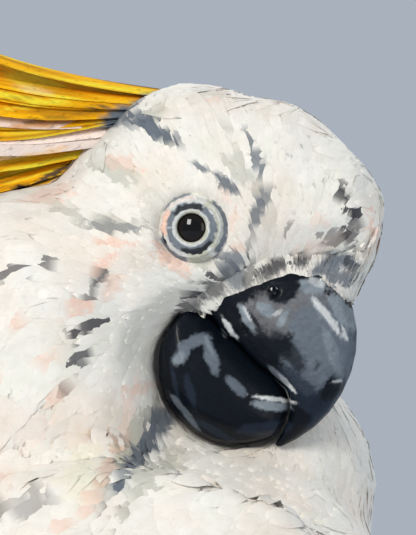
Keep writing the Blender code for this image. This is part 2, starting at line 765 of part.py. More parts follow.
def make_leg(parts, cutters, trunk):
    thigh = add_object("thigh_left", tube("thigh", THIGH, LIMB_RINGS, 10), parts)
    boolean(thigh, grown(trunk, cutters))
    keep_largest(thigh)
    tarsus = add_object("tarsus_left", tube("tarsus", TARSUS, 9, 8), parts)
    boolean(tarsus, grown(thigh, cutters))
    keep_largest(tarsus)
    cut_below_floor(tarsus)
    made = {"thigh": thigh, "tarsus": tarsus}
    for name, (length, heading, claw_length) in TOES.items():
        rows, ahead = toe_stations(length, heading)
        toe = add_object(name + "_left", tube(name, rows, LIMB_RINGS, LIMB_SIDES), parts)
        for neighbour in [tarsus, *(made[n] for n in made if n.startswith("toe_"))]:
            boolean(toe, grown(neighbour, cutters, TOE_GAP))
        keep_largest(toe)
        cut_below_floor(toe)
        claw_name = name.replace("toe", "claw")
        claw = add_object(
            claw_name + "_left", tube(claw_name, claw_stations(rows[-1], ahead, claw_length), 5, 5), parts
        )
        boolean(claw, grown(toe, cutters))
        keep_largest(claw)
        made[name] = toe
        made[claw_name] = claw
    return made


def add_right_side(parts, cutters, body):
    """Mirrors the wing and the leg, and cuts them again by the body, which isn't quite symmetric."""
    lefts = [obj for obj in parts.objects if obj.name.endswith("_left") and not obj.name.startswith("eye")]
    made = {}
    for left in lefts:
        name = left.name.removesuffix("left") + "right"
        right = add_object(name, mirror_left(evaluated_mesh(left), name), parts)
        made[name] = right
        if name.startswith(("wing", "secondaries", "primaries", "thigh")):
            for neighbour in body:
                boolean(right, grown(neighbour, cutters))
            keep_largest(right)
    for name in ("secondaries_right", "wing_coverts_right"):
        boolean(made["primaries_right"], grown(made[name], cutters))
    keep_largest(made["primaries_right"])


def finish_surfaces(parts):
    """Colours by what a piece is made of, and round shading."""
    looks = {
        "plumage": material("plumage", (0.84, 0.81, 0.77), 0.85),
        "crest": material("crest", (0.93, 0.58, 0.04), 0.75),
        "bill": material("bill", (0.035, 0.037, 0.045), 0.35),
        "cere": material("cere", (0.10, 0.10, 0.12), 0.6),
        "eye": material("eye", (0.008, 0.006, 0.006), 0.05),
        "eye_ring": material("eye_ring", (0.36, 0.40, 0.46), 0.6),
        "leg": material("leg", (0.11, 0.11, 0.12), 0.7),
        "claw": material("claw", (0.03, 0.03, 0.035), 0.35),
    }
    starts = {
        "crest": "crest",
        "bill": "bill",
        "cere": "cere",
        "eye_ring": "eye_ring",
        "eye": "eye",
        "tarsus": "leg",
        "toe": "leg",
        "claw": "claw",
    }
    for obj in parts.objects:
        key = next((look for start, look in starts.items() if obj.name.startswith(start)), "plumage")
        obj.data.materials.clear()
        obj.data.materials.append(looks[key])
        obj.data.shade_smooth()
        obj.data.set_sharp_from_angle(angle=math.radians(SHARP_FROM))


def stand_at_origin(parts):
    """Moves the bird so that the middle of its box, on the floor, is the origin."""
    points = [v.co for obj in parts.objects for v in obj.data.vertices]
    low = [min(p[i] for p in points) for i in range(3)]
    high = [max(p[i] for p in points) for i in range(3)]
    shift = Matrix.Translation((-(low[0] + high[0]) / 2, -(low[1] + high[1]) / 2, -low[2]))
    for obj in parts.objects:
        obj.data.transform(shift)


def main():
    parts, cutters = make_collections()
    flesh = make_flesh(parts, cutters)
    bill = make_bill(parts, cutters)
    sockets = make_eyes(parts, cutters)
    for cutter in [*(grown(piece, cutters) for piece in bill.values()), *sockets]:
        boolean(flesh["head"], cutter)
    keep_largest(flesh["head"])
    for neighbour in bill.values():
        for piece in ("neck", "trunk"):
            boolean(flesh[piece], grown(neighbour, cutters))
            keep_largest(flesh[piece])
    make_crest(parts, cutters, flesh["head"])
    body = [flesh["trunk"], flesh["neck"]]
    wing = make_wing(parts, cutters, body)
    make_leg(parts, cutters, flesh["trunk"])
    add_right_side(parts, cutters, body)
    wings = [obj for obj in parts.objects if obj.name.startswith("secondaries")]
    make_tail(parts, cutters, [flesh["trunk"], *wings])
    finish_surfaces(parts)
    stand_at_origin(parts)
    for cutter in list(cutters.objects):
        bpy.data.objects.remove(cutter)


main()
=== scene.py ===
# A sulphur-crested cockatoo, life size: skin, feathers, bill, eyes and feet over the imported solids.
import itertools
import math
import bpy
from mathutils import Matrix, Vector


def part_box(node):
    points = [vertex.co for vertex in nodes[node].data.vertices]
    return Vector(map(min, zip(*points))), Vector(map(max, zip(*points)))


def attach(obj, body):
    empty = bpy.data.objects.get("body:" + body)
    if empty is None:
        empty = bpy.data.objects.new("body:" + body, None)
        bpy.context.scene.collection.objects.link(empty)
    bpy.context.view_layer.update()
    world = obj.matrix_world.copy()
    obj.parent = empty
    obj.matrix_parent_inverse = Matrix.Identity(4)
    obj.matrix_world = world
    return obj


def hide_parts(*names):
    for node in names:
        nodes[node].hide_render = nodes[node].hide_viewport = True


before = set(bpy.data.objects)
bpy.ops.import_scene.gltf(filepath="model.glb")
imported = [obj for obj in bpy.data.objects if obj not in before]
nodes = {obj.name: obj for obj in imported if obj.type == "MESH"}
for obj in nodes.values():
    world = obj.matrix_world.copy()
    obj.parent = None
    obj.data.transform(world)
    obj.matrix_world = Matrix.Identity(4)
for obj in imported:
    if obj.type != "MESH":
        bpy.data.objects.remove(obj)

from types import SimpleNamespace

import bmesh
import bpy
import numpy as np
from mathutils import Matrix, Vector, noise
from mathutils.bvhtree import BVHTree

mm = 0.001
up = Vector((0, 0, 1))
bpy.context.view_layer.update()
chance = np.random.default_rng(7)


def boxMiddle(node):
    low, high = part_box(node)
    return (low + high) / 2


def placed(name, data):
    piece = bpy.data.objects.new(name, data)
    bpy.context.scene.collection.objects.link(piece)
    return piece


# the head's own frame: x along the bill, y to the bird's left, z out of the crown
headPitch = math.radians(41)  # bill down
eyeMiddles = {side: boxMiddle(f"eye_{side}") for side in ("left", "right")}
headMiddle = (eyeMiddles["left"] + eyeMiddles["right"]) / 2
toLeft = (eyeMiddles["left"] - eyeMiddles["right"]).normalized()
levelAhead = toLeft.cross(up).normalized()
billWay = levelAhead * math.cos(headPitch) - up * math.sin(headPitch)
crownWay = levelAhead * math.sin(headPitch) + up * math.cos(headPitch)
headFrame = Matrix((billWay, toLeft, crownWay)).transposed().to_4x4()
headFrame.translation = headMiddle
headTurn = np.array(headFrame.to_3x3())
headAt = np.array(headMiddle)


def inHead(points):
    return (points - headAt) @ headTurn / mm


# the camera
view = {
    "across": 99.8,  # millimetres of the bird across the frame, at the eye
    "eyeToMiddle": (3.1, -9.5),  # from the near eye to the frame's middle, across and up
    "away": 1000,  # how far the camera stands
    "sensor": 36,
    "clip": (0.05, 20),
}


def makeCamera():
    lens = bpy.data.cameras.new("camera")
    camera = placed("camera", lens)
    eye = eyeMiddles["right"]
    across, high = view["eyeToMiddle"]
    camera.location = (eye.x + across * mm, eye.y - view["away"] * mm, eye.z + high * mm)
    camera.rotation_euler = (math.pi / 2, 0, 0)
    lens.sensor_fit = "HORIZONTAL"
    lens.sensor_width = view["sensor"]
    lens.lens = view["sensor"] * view["away"] / view["across"]
    lens.clip_start, lens.clip_end = view["clip"]
    bpy.context.scene.camera = camera


makeCamera()


# helpers for meshes
def deselect():
    for piece in bpy.context.selected_objects:
        piece.select_set(False)


def activate(piece):
    deselect()
    piece.select_set(True)
    bpy.context.view_layer.objects.active = piece


def shadeSmooth(piece):
    activate(piece)
    bpy.ops.object.shade_smooth()


def applied(piece, kind, **settings):
    activate(piece)
    modifier = piece.modifiers.new(kind.lower(), kind)
    for key, value in settings.items():
        setattr(modifier, key, value)
    bpy.ops.object.modifier_apply(modifier=modifier.name)


def fromShell(name, shell):
    mesh = bpy.data.meshes.new(name)
    shell.to_mesh(mesh)
    shell.free()
    return placed(name, mesh)


def cadShell(names):
    shell = bmesh.new()
    for node in names:
        shell.from_mesh(nodes[node].data)
    return shell


def cadCopy(name, names):
    shell = cadShell(names)
    bmesh.ops.remove_doubles(shell, verts=shell.verts, dist=0.00001)
    return fromShell(name, shell)


def shellTree(shell):
    tree = BVHTree.FromBMesh(shell)
    shell.free()
    return tree


def treeOf(*names):
    return shellTree(cadShell(names))


def vertexArrays(mesh):
    points, normals = np.empty((2, len(mesh.vertices) * 3))
    mesh.vertices.foreach_get("co", points)
    mesh.vertices.foreach_get("normal", normals)
    return points.reshape(-1, 3), normals.reshape(-1, 3)


def setPoints(mesh, points):
    mesh.vertices.foreach_set("co", points.ravel())
    mesh.update()


def swell(piece, depth, share=1):
    # moves the surface out along its normals, in millimetres
    points, normals = vertexArrays(piece.data)
    setPoints(piece.data, points + normals * depth * share * mm)


def remesh(piece, shape, smoothing=0):
    applied(piece, "REMESH", mode="VOXEL", voxel_size=shape["grain"] * mm)
    if smoothing:
        applied(piece, "SMOOTH", factor=0.5, iterations=smoothing)


def closedCopy(name, names, shape):
    # one smooth surface over faceted solids that also bridges the gaps and creases between them
    piece = cadCopy(name, names)
    remesh(piece, shape)
    swell(piece, shape["closeGaps"])
    remesh(piece, shape, shape["smoothing"])
    swell(piece, -shape["closeGaps"], shape["shrink"])
    return piece


def smooth01(values, low, high):
    t = np.clip((values - low) / (high - low), 0, 1)
    return t * t * (3 - 2 * t)


def unit(vectors):
    return vectors / np.maximum(np.linalg.norm(vectors, axis=-1, keepdims=True), 1e-12)


def blend(first, second, share):
    return np.array(first) * (1 - share) + np.array(second) * share


def mapSurface(piece):
    # places and areas of a piece's triangles, for rooting feathers
    mesh = piece.data
    mesh.calc_loop_triangles()
    corners, loops = np.empty((2, len(mesh.loop_triangles) * 3), dtype=np.int32)
    mesh.loop_triangles.foreach_get("vertices", corners)
    mesh.loop_triangles.foreach_get("loops", loops)
    corners = corners.reshape(-1, 3)
    points, _ = vertexArrays(mesh)
    a, b, c = (points[corners[:, i]] for i in range(3))
    cross = np.cross(b - a, c - a)
    return SimpleNamespace(
        points=points,
        corners=corners,
        loops=loops.reshape(-1, 3),
        areas=np.linalg.norm(cross, axis=1) / 2,
        facing=unit(cross),
        middles=(a + b + c) / 3,
        tree=BVHTree.FromPolygons([Vector(p) for p in points], corners.tolist()),
    )


def surfaceOf(piece):
    # maps a surface that only guides the feathers, and takes it away again
    surface = mapSurface(piece)
    bpy.data.objects.remove(piece)
    return surface


# metres; how far gaps are measured
billReach = 0.012
bodyReach = 0.02


def below(tree, x, y, top):
    # the surface straight below a height, if there is one
    return tree.ray_cast(Vector((x, y, top)), Vector((0, 0, -1)), top + 0.1)[0]


def distances(tree, points, reach):
    found = np.full(len(points), reach)
    for i, point in enumerate(points):
        hit = tree.find_nearest(Vector(point), reach)
        if hit[0] is not None:
            found[i] = hit[3]
    return found


# helpers for materials
class Net:
    # a node tree in the making; each value is a number or colour, or a socket to link
    def __init__(self, tree):
        self.tree = tree

    def fill(self, node, values):
        for key, value in values.items():
            if isinstance(value, bpy.types.NodeSocket):
                self.tree.links.new(value, node.inputs[key])
            else:
                node.inputs[key].default_value = value

    def put(self, kind, values=None, **settings):
        node = self.tree.nodes.new(kind)
        for key, value in settings.items():
            setattr(node, key, value)
        self.fill(node, values or {})
        return node

    def maths(self, operation, *values):
        return self.put("ShaderNodeMath", dict(enumerate(values)), operation=operation).outputs[0]

    def times(self, *values):
        return self.maths("MULTIPLY", *values)

    def plus(self, *values):
        return self.maths("ADD", *values)

    def minus(self, *values):
        return self.maths("SUBTRACT", *values)

    def measure(self, operation, *vectors):
        values = dict(enumerate(vectors))
        return self.put("ShaderNodeVectorMath", values, operation=operation).outputs["Value"]

    def join(self, x, y, z=0.0):
        return self.put("ShaderNodeCombineXYZ", {0: x, 1: y, 2: z}).outputs[0]

    def split(self, vector):
        return self.put("ShaderNodeSeparateXYZ", {0: vector}).outputs

    def ramp(self, value, low, high, toLow, toHigh, **settings):
        values = {"Value": value, "From Min": low, "From Max": high, "To Min": toLow, "To Max": toHigh}
        return self.put("ShaderNodeMapRange", values, **settings).outputs["Result"]

    def mix(self, factor, first, second, kind="MIX"):
        values = {0: factor, 6: first, 7: second}
        return self.put("ShaderNodeMix", values, data_type="RGBA", blend_type=kind).outputs[2]

    def shaded(self, colour, shade):
        grey = self.put("ShaderNodeCombineColor", {0: shade, 1: shade, 2: shade}).outputs[0]
        return self.mix(1.0, colour, grey, "MULTIPLY")

    def grain(self, vector, scale, detail=2.0, roughness=0.5):
        values = {"Vector": vector, "Scale": scale, "Detail": detail, "Roughness": roughness}
        return self.put("ShaderNodeTexNoise", values).outputs["Fac"]

    def place(self):
        return self.put("ShaderNodeTexCoord").outputs["Object"]

    def placeInHead(self):
        # Object coordinates turned into the head's frame, in millimetres
        values = {0: self.place(), 1: headMiddle}
        away = self.put("ShaderNodeVectorMath", values, operation="SUBTRACT").outputs[0]
        ways = (billWay, toLeft, crownWay)
        return self.join(*[self.measure("DOT_PRODUCT", away, way / mm) for way in ways])

    def painted(self):
        return self.put("ShaderNodeVertexColor", layer_name="plumage").outputs["Color"]

    def group(self, name, values):
        return self.put("ShaderNodeGroup", values, node_tree=bpy.data.node_groups[name]).outputs


def newGroup(name, inputs, *outputs):
    # inputs are names and first values; a socket named Color is a colour, the others are numbers
    group = bpy.data.node_groups.new(name, "ShaderNodeTree")
    kinds = {"Color": "NodeSocketColor"}
    for word, value in inputs.items():
        kind = kinds.get(word, "NodeSocketFloat")
        group.interface.new_socket(word, in_out="INPUT", socket_type=kind).default_value = value
    for word in outputs:
        kind = kinds.get(word, "NodeSocketFloat")
        group.interface.new_socket(word, in_out="OUTPUT", socket_type=kind)
    net = Net(group)
    return net, net.put("NodeGroupInput").outputs, net.put("NodeGroupOutput")


def newMaterial(name):
    made = bpy.data.materials.new(name)
    made.use_nodes = True
    return made, Net(made.node_tree), made.node_tree.nodes["Principled BSDF"]


# floor and light
studio = {
    "floorRadius": 40.0,
    "fadeFrom": 0.45,  # metres from the bird where the floor starts to melt into the air
    "fadeTo": 2.2,
    "pale": (0.66, 0.74, 0.84),
    "floorTone": 0.74,
    "worldLight": 0.60,
    "lights": {  # metres from the head, width and height, watts, colour
        "key": ((-0.50, -1.02, 0.50), (0.32, 0.45), 10.2, (1, 0.96, 0.90)),
        "fill": ((0.80, -1.05, -0.05), (0.5, 1.0), 3.5, (1, 0.97, 0.93)),
        "rim": ((0.55, 0.90, 0.80), (0.8, 0.8), 7, (1, 1, 1)),
        "back": ((-0.9, 0.8, 0.5), (0.8, 0.8), 5, (1, 1, 1)),
    },
}


def areaLight(name, at, size, power, colour):
    lamp = bpy.data.lights.new(name, "AREA")
    lamp.shape = "RECTANGLE"
    lamp.size, lamp.size_y = size
    lamp.energy = power
    lamp.color = colour
    holder = placed(name, lamp)
    holder.location = headMiddle + Vector(at)
    holder.rotation_euler = (-Vector(at)).to_track_quat("-Z", "Y").to_euler()


def makeStudio():
    deselect()
    bpy.ops.mesh.primitive_circle_add(vertices=96, radius=studio["floorRadius"], fill_type="NGON")
    floor = bpy.context.object
    floor.name = "studioFloor"
    paint, net, shader = newMaterial("studioPaint")
    away = net.measure("LENGTH", net.place())
    fade = net.ramp(away, studio["fadeFrom"], studio["fadeTo"], 0, 1, interpolation_type="SMOOTHSTEP")
    pale, black = studio["pale"], (0, 0, 0, 1)
    near = (*(studio["floorTone"] * value for value in pale), 1)
    far = (*(studio["worldLight"] * value for value in pale), 1)
    net.fill(shader, {
        "Base Color": net.mix(fade, near, black),
        "Emission Color": net.mix(fade, black, far),
        "Emission Strength": 1,
        "Roughness": 0.9,
        "Specular IOR Level": 0,
    })
    floor.data.materials.append(paint)
    world = bpy.data.worlds.new("studioAir")
    world.use_nodes = True
    air = world.node_tree.nodes["Background"]
    air.inputs["Color"].default_value = (*pale, 1)
    air.inputs["Strength"].default_value = studio["worldLight"]
    bpy.context.scene.world = world
    for name, look in studio["lights"].items():
        areaLight(name + "Light", *look)
    bpy.context.scene.view_settings.view_transform = "Standard"


makeStudio()
print("studio ready")

# the skin
skinShape = {
    "closeGaps": 0.25,
    "grain": 1.5,  # voxel, millimetres
    "smoothing": 5,
    "headCoat": 1.5,  # how far the skin lies inside the solids
    "bodyCoat": 2.6,
    "faceCoat": 0.7,
    "headTo": (38, 110),  # from the head, where the coat deepens
    "faceTo": (10, 20),  # from the eye
    "thinnest": 0.3,  # most of a thin part's thickness that the skin may give up
}
wingNodes = ["wing_coverts_left", "wing_coverts_right", "secondaries_left", "secondaries_right"]
fleshNodes = ["head", "neck", "trunk"]
for side in ("left", "right"):
    fleshNodes += [f"thigh_{side}", f"wing_coverts_{side}", f"secondaries_{side}"]
billTree = treeOf("bill_upper", "bill_lower", "cere")
wingTree = treeOf(*wingNodes)
bodyTree = treeOf("trunk", "neck", *wingNodes)
trunkTree = treeOf("trunk", "neck", "head")


def eyeDistance(points):
    local = inHead(points)
    away = np.hypot(local[:, 0], local[:, 2])
    return np.where(np.abs(local[:, 1]) > 8, away, 60.0)


def makeSkin():
    skin = cadCopy("skin", fleshNodes)
    swell(skin, skinShape["closeGaps"])
    remesh(skin, skinShape, skinShape["smoothing"])
    points, normals = vertexArrays(skin.data)
    fromHead = np.linalg.norm(points - headAt, axis=1) / mm
    least, most = skinShape["headCoat"], skinShape["bodyCoat"]
    depth = least + (most - least) * smooth01(fromHead, *skinShape["headTo"])
    face = 1 - smooth01(eyeDistance(points), *skinShape["faceTo"])
    depth = blend(depth, skinShape["faceCoat"], face)
    shell = bmesh.new()
    shell.from_mesh(skin.data)
    tree = shellTree(shell)
    for i in range(len(points)):
        inward = -Vector(normals[i])
        hit = tree.ray_cast(Vector(points[i]) + inward * 0.0002, inward, 0.05)
        if hit[0] is not None:
            depth[i] = min(depth[i], skinShape["thinnest"] * hit[3] / mm)
    swell(skin, -depth[:, None])
    applied(skin, "SMOOTH", factor=0.5, iterations=2)
    shadeSmooth(skin)
    print("skin", len(skin.data.polygons), "faces")
    return skin


def unwrapSkin():
    activate(skin)
    skin.data.uv_layers.new(name="OFBake")
    bpy.ops.object.mode_set(mode="EDIT")
    bpy.ops.mesh.select_all(action="SELECT")
    bpy.ops.uv.smart_project(angle_limit=math.radians(66), island_margin=0.002)
    bpy.ops.object.mode_set(mode="OBJECT")
    unwrap = np.empty(len(skin.data.loops) * 2)
    skin.data.uv_layers["OFBake"].data.foreach_get("uv", unwrap)
    return unwrap.reshape(-1, 2)


skin = makeSkin()
unwrap = unwrapSkin()
skinMap = mapSurface(skin)
print("skin unwrapped")

# marks, the same on skin and coat: the peach and cream ones are tints of the plumage, the greyGreen, slate
# and charcoal ones are painted shade
tones = {
    "white": (0.85, 0.82, 0.745),
    "peach": (0.86, 0.56, 0.43),
    "greyGreen": (0.40, 0.40, 0.32),
    "slate": (0.13, 0.155, 0.185),
    "charcoal": (0.03, 0.03, 0.04),
    "lemon": (0.88, 0.76, 0.05),
    "cream": (0.88, 0.82, 0.55),
    "golden": (0.92, 0.47, 0.006),
    "ochre": (0.16, 0.10, 0.02),
    "orange": (0.62, 0.26, 0.004),
    "coal": (0.006, 0.008, 0.012),
    "dusk": (0.014, 0.022, 0.038),
    "ash": (0.17, 0.17, 0.175),
    "mist": (0.25, 0.29, 0.32),
    "pale": (0.62, 0.63, 0.62),
    "olive": (0.50, 0.49, 0.38),
    "blush": (0.88, 0.75, 0.68),
}
# how ragged the marks of a tone end: feathers near the edge take it wholly or not at all
rag = {"peach": 0.25, "greyGreen": 0.25, "slate": 0.15, "charcoal": 0.42}
# where marks fade: millimetres from the head's middle and from the midline, shares of a mark's own size
markFade = {"away": (88, 104), "midline": (1, 4), "edge": (0.75, 1.2)}

# rows of a tone and its marks: x, z, half length, half width, slope in degrees, strength
headTintsAndShade = (
    ("cream", (20, -59, 3.9, 8.7, 41, 0.3)),
    # painted shade round the eye, over the lores and beside the bill
    (
        "greyGreen",
        (-26, 14, 3.6, 1.8, 1, 0.5), (-23, -2, 6.4, 2, 23, 0.5), (-15, -12, 8, 2.4, 38, 0.5),
        (-26, -17, 8.8, 1.2, 21, 0.5), (-11, -2, 2.4, 6, 41, 0.25), (0, 18, 5.4, 3, 1, 0.5),
        (7, -5, 2.7, 1.7, 51, 0.5), (12, 13, 4.4, 2, -64, 0.35), (-20, 26, 3.4, 1.5, 41, 0.35),
        (-10, 23, 2, 1, -19, 0.4), (23, -49, 11.3, 2.2, -71, 0.7), (33, -49, 8.7, 2.6, -84, 0.6),
        (10, -79, 3.9, 4.4, 41, 0.6),
    ),
    (
        "peach",
        (-23, 1, 5.2, 1.8, 16, 0.5), (-11, -14, 4.8, 1.1, 36, 0.6), (-33, -18, 6.8, 2, 51, 0.45),
        (1, -9, 5.6, 2, 6, 0.7), (-10, -20, 3.2, 1, 81, 0.5), (32, 27, 5, 1, -44, 0.6),
        (22, 21, 1.7, 2.7, -69, 0.35), (25, 16, 7.7, 2, 61, 0.3), (1, 11, 2.4, 1.3, -19, 0.35),
        (6, 8, 4, 0.8, -59, 0.4), (11, 3, 2, 1.3, 31, 0.5), (-19, 24, 3, 0.8, 41, 0.4),
        (-7, -31, 3.9, 2, 71, 0.75), (-5, -23, 3.9, 2, -79, 0.5), (-10, -20, 3.5, 1.1, 71, 0.5),
        (-15, -43, 1.7, 1.7, 41, 0.6), (-5, -45, 2.6, 1.3, 11, 0.6), (3, -51, 4.8, 1.4, -71, 0.6),
        (15, -38, 3.9, 1.3, 51, 0.45), (17, -43, 7, 0.9, -59, 0.4), (25, -57, 11.3, 1.3, -69, 0.5),
        (26, -69, 3.9, 0.7, 49, 0.5), (-11, -57, 2.6, 1.3, -69, 0.4), (0, -70, 1.7, 1.7, 41, 0.4),
        (5, -73, 4.4, 1.7, 31, 0.35), (10, -53, 6.5, 3.9, -19, 0.25), (1, -61, 8.7, 5.2, -4, 0.2),
    ),
    # painted shadow at the crest's base, under the forehead and behind the lower bill
    (
        "slate",
        (-33, 8, 4.8, 2.4, 61, 0.9), (-22, 12, 6.8, 1.5, 6, 0.9), (-32, 15, 3.2, 0.9, 61, 0.7),
        (-14, -12, 6.8, 1.3, 38, 0.6), (-1, 23, 6.4, 1.4, -25, 0.85), (-8, 12, 2.7, 0.8, 16, 0.85),
        (-1, 13, 3.7, 1.3, -4, 0.9), (8, 17, 2.4, 1.5, -89, 0.8), (9, 12, 3.7, 1.2, -69, 0.85),
        (30, 16, 3.7, 2, 51, 0.8), (12, 0, 3.7, 2.7, 11, 0.8), (26, -46, 10.5, 2, -74, 1),
        (24, -40, 5.7, 2.6, -79, 1), (28, -37, 6.5, 1.2, -9, 0.9), (14.6, -2.5, 4, 2.5, -29, 0.8),
        (30.6, 14.6, 6.4, 2, 61, 0.9), (33.9, 13.4, 2.9, 2.2, 11, 0.9),
        (26.6, -36.2, 6.4, 1.3, -11, 0.85), (-21.3, 12.4, 5.8, 1.7, 9, 0.9),
        (-27.4, 11.4, 3.8, 2.2, 51, 0.9), (32.9, 18.1, 2.9, 1.2, 6, 0.8),
    ),
    # painted shade in the gaps between feathers
    (
        "charcoal",
        (-25, -35, 6.8, 1.3, 51, 0.75), (17, 15, 4.4, 0.5, -74, 0.5), (25, 28, 5.7, 1.3, -24, 0.95),
        (29, 24, 4.4, 1.7, -59, 0.75), (26, 20, 3.7, 2, 61, 0.6), (20, 5, 4, 1.7, 66, 0.75),
        (24, 10, 2, 1.2, 71, 0.75), (17, 0, 4.4, 1.3, -59, 0.6), (13, -8, 3.7, 2.4, 21, 0.5),
        (13, 5, 3, 0.6, -59, 0.5), (-8, -25, 3.3, 1.7, -84, 0.8), (-2, -34, 3.3, 0.8, 61, 0.9),
        (1, -40, 3.7, 1.6, -89, 0.85), (3, -48, 2.4, 0.7, -79, 0.5), (17, -71, 5.2, 2, 56, 0.45),
        (10, -79, 3.9, 2.6, 41, 0.45), (11, -15, 6.1, 2.3, -89, 0.6), (11.7, -17.1, 4.7, 2, -89, 0.55),
        (12.3, -8.5, 3.7, 2.4, 81, 0.55), (20.3, 3.8, 4.4, 2, 71, 0.6), (23.9, 10.5, 2, 1.7, 61, 0.6),
        (34.8, 16.9, 4.7, 1.1, -34, 0.7),
    ),
)


def grainAt(points, size):
    # smooth noise of about one unit over lumps of the given size in millimetres
    scale = 1 / (size * mm)
    return np.array([noise.noise(Vector(point) * scale) for point in points]) * 2


def markedColour(points, base, rows, grain, midline=0.0):
    # lays soft-edged marks, given in the head's frame, over the base colour; they fade at the midline
    local = inHead(points)
    colour = np.array(base) * np.ones((len(points), 1))
    near = 1 - smooth01(np.linalg.norm(local, axis=1), *markFade["away"])
    near = near * (1 - midline * (1 - smooth01(np.abs(local[:, 1]), *markFade["midline"])))
    for tone, *marks in rows:
        for x, z, length, width, slope, strength in marks:
            turn = math.radians(slope)
            dx, dz = local[:, 0] - x, local[:, 2] - z
            along = (dx * math.cos(turn) + dz * math.sin(turn)) / length
            across = (dz * math.cos(turn) - dx * math.sin(turn)) / width
            reach = np.sqrt(along**2 + across**2) + grain * rag.get(tone, 0.15)
            weight = strength * near * (1 - smooth01(reach, *markFade["edge"]))
            colour = blend(colour, tones[tone], weight[:, None])
    return colour


def plumageColour(points, grain):
    return markedColour(points, tones["white"], headTintsAndShade, grain, 0.8)


def paintPoints(piece, colour):
    paint = piece.data.color_attributes.new(name="plumage", type="FLOAT_COLOR", domain="POINT")
    shade = np.ones((len(piece.data.vertices), 4))
    shade[:, :3] = np.clip(colour, 0, 1)
    paint.data.foreach_set("color", shade.ravel())


paintPoints(skin, plumageColour(skinMap.points, grainAt(skinMap.points, 1.5)))

# bill, eyes and feet
hornShape = {"closeGaps": 0.25, "grain": 0.45, "smoothing": 10, "shrink": 0.6}
footShape = {"closeGaps": 0.55, "grain": 0.6, "smoothing": 4, "shrink": 0.6}


def hornPiece(name, names, shape=hornShape):
    piece = closedCopy(name, names, shape)
    shadeSmooth(piece)
    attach(piece, "root")
    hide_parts(*names)
    return piece


billBase = (0.003, 0.005, 0.009)
# the bill's marks, in the head's columns: ash and slate are grey powder bloom on the horn, partly painted
# sheen; pale and mist strokes are painted highlights; coal keeps the nostril's hole dark as painted shade,
# and coal and dusk keep the cutting edges and hook black
billTonesAndHighlights = (
    ("ash", (30.3, -0.1, 12, 5.76, 49, 0.85), (27.1, 1, 9.6, 2.88, 59, 0.7)),
    ("slate", (40.5, -0.1, 10.6, 7.2, -21, 0.95), (42, -9.9, 6.2, 3.36, -9, 0.75)),
    ("mist", (39, 7.5, 5.8, 1.68, -17, 0.75), (30, 7.6, 3.1, 2.16, 41, 0.9)),
    ("pale", (29.9, 8.8, 2.2, 0.96, 11, 0.7)),
    ("mist", (43.8, -1, 6.2, 1.44, -29, 0.45)),
    ("coal", (25.8, 1.8, 3.6, 2.28, 53, 1), (26.5, 4.3, 1.9, 1.2, 56, 1)),
    ("mist", (25.3, -3.8, 2.6, 1.44, 11, 0.85), (30.1, -3.1, 2.2, 0.96, -79, 0.8)),
    ("pale", (28.1, -2.6, 1.4, 0.6, 71, 0.6)),
    ("coal", (30.4, -10.5, 4.8, 2.16, -7, 0.85), (36, -7.8, 6.2, 1.92, -11, 0.8)),
    ("dusk", (45.2, -13.5, 8.2, 2.88, -9, 0.8)),
    ("pale", (37.7, 4.2, 6, 1.08, -13, 0.95)),
    ("slate", (37.8, 3.3, 4.1, 0.43, -13, 0.9)),
    ("pale", (43, 4, 2.2, 0.38, -29, 0.8)),
    ("coal", (21.5, -10.9, 3.8, 0.96, -19, 1)),
    ("pale", (21.4, -13.2, 3.4, 0.67, -17, 0.95)),
    ("mist", (23.7, -8.6, 3.8, 1.01, -23, 0.9)),
    ("pale", (23.1, -7.6, 2.2, 0.38, -23, 0.7)),
    ("coal", (25.3, -7.6, 3.1, 0.53, -19, 0.9)),
    ("mist", (20.9, -15.2, 1.2, 0.48, -19, 0.6)),
    (
        "slate",
        (17.4, -21.1, 3.8, 1.56, 63, 0.95), (22.8, -21.2, 4.6, 1.56, -31, 0.95),
        (17.1, -25.5, 2.9, 1.68, -77, 0.95),
    ),
    ("mist", (17.4, -26.6, 2.2, 1.08, -77, 0.6), (20.4, -19.5, 2.6, 0.53, -25, 0.6)),
    ("coal", (20.9, -24.8, 2.4, 1.08, -59, 0.8)),
    ("dusk", (24.4, -30.6, 4.3, 0.96, -34, 0.9), (20.4, -31.9, 4.3, 0.72, -39, 0.9)),
    ("slate", (31.8, -22.6, 3.1, 1.2, -7, 0.85)),
    ("mist", (41.1, -20.9, 4.8, 1.2, 33, 0.85)),
    ("pale", (40.8, -19.2, 5, 0.53, 32, 1), (40.3, -14.2, 3.1, 0.58, -7, 1)),
    ("slate", (38.1, -14.2, 3.4, 0.84, -4, 0.7), (26.6, -35.7, 6.2, 0.84, -11, 0.8)),
    (
        "dusk",
        (34.7, -34.4, 5.3, 0.96, 11, 0.9), (52.4, -15.2, 6.2, 2.16, -87, 0.85),
        (43.9, -26, 6.7, 1.68, 46, 0.8),
    ),
    ("slate", (49.1, -2.8, 5.3, 0.96, -39, 0.6)),
    ("pale", (49.2, -6.2, 1.4, 0.36, 51, 0.7)),
)

billUpper = hornPiece("billUpper", ["bill_upper", "cere"])
billLower = hornPiece("billLower", ["bill_lower"])
for piece in (billUpper, billLower):
    points, _ = vertexArrays(piece.data)
    grain = 0.8 * grainAt(points, 0.7) + grainAt(points, 2.6)
    paintPoints(piece, markedColour(points, billBase, billTonesAndHighlights, grain))
toes = ["toe_front_inner", "toe_front_outer", "toe_back_inner", "toe_back_outer"]
feet = []
claws = []
for word in ("left", "right"):
    names = [f"tarsus_{word}"] + [f"{toe}_{word}" for toe in toes]
    foot = hornPiece(f"foot_{word}", names, footShape)
    points, _ = vertexArrays(foot.data)
    setPoints(foot.data, np.maximum(points, (-1, -1, 0)))  # the soles stay on the floor
    feet.append(foot)
    for toe in toes:
        node = toe.replace("toe", "claw") + "_" + word
        claw = cadCopy(node.replace("claw", "nail"), [node])
        applied(claw, "SUBSURF", levels=2, render_levels=2)
        shadeSmooth(claw)
        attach(claw, "root")
        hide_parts(node)
        claws.append(claw)

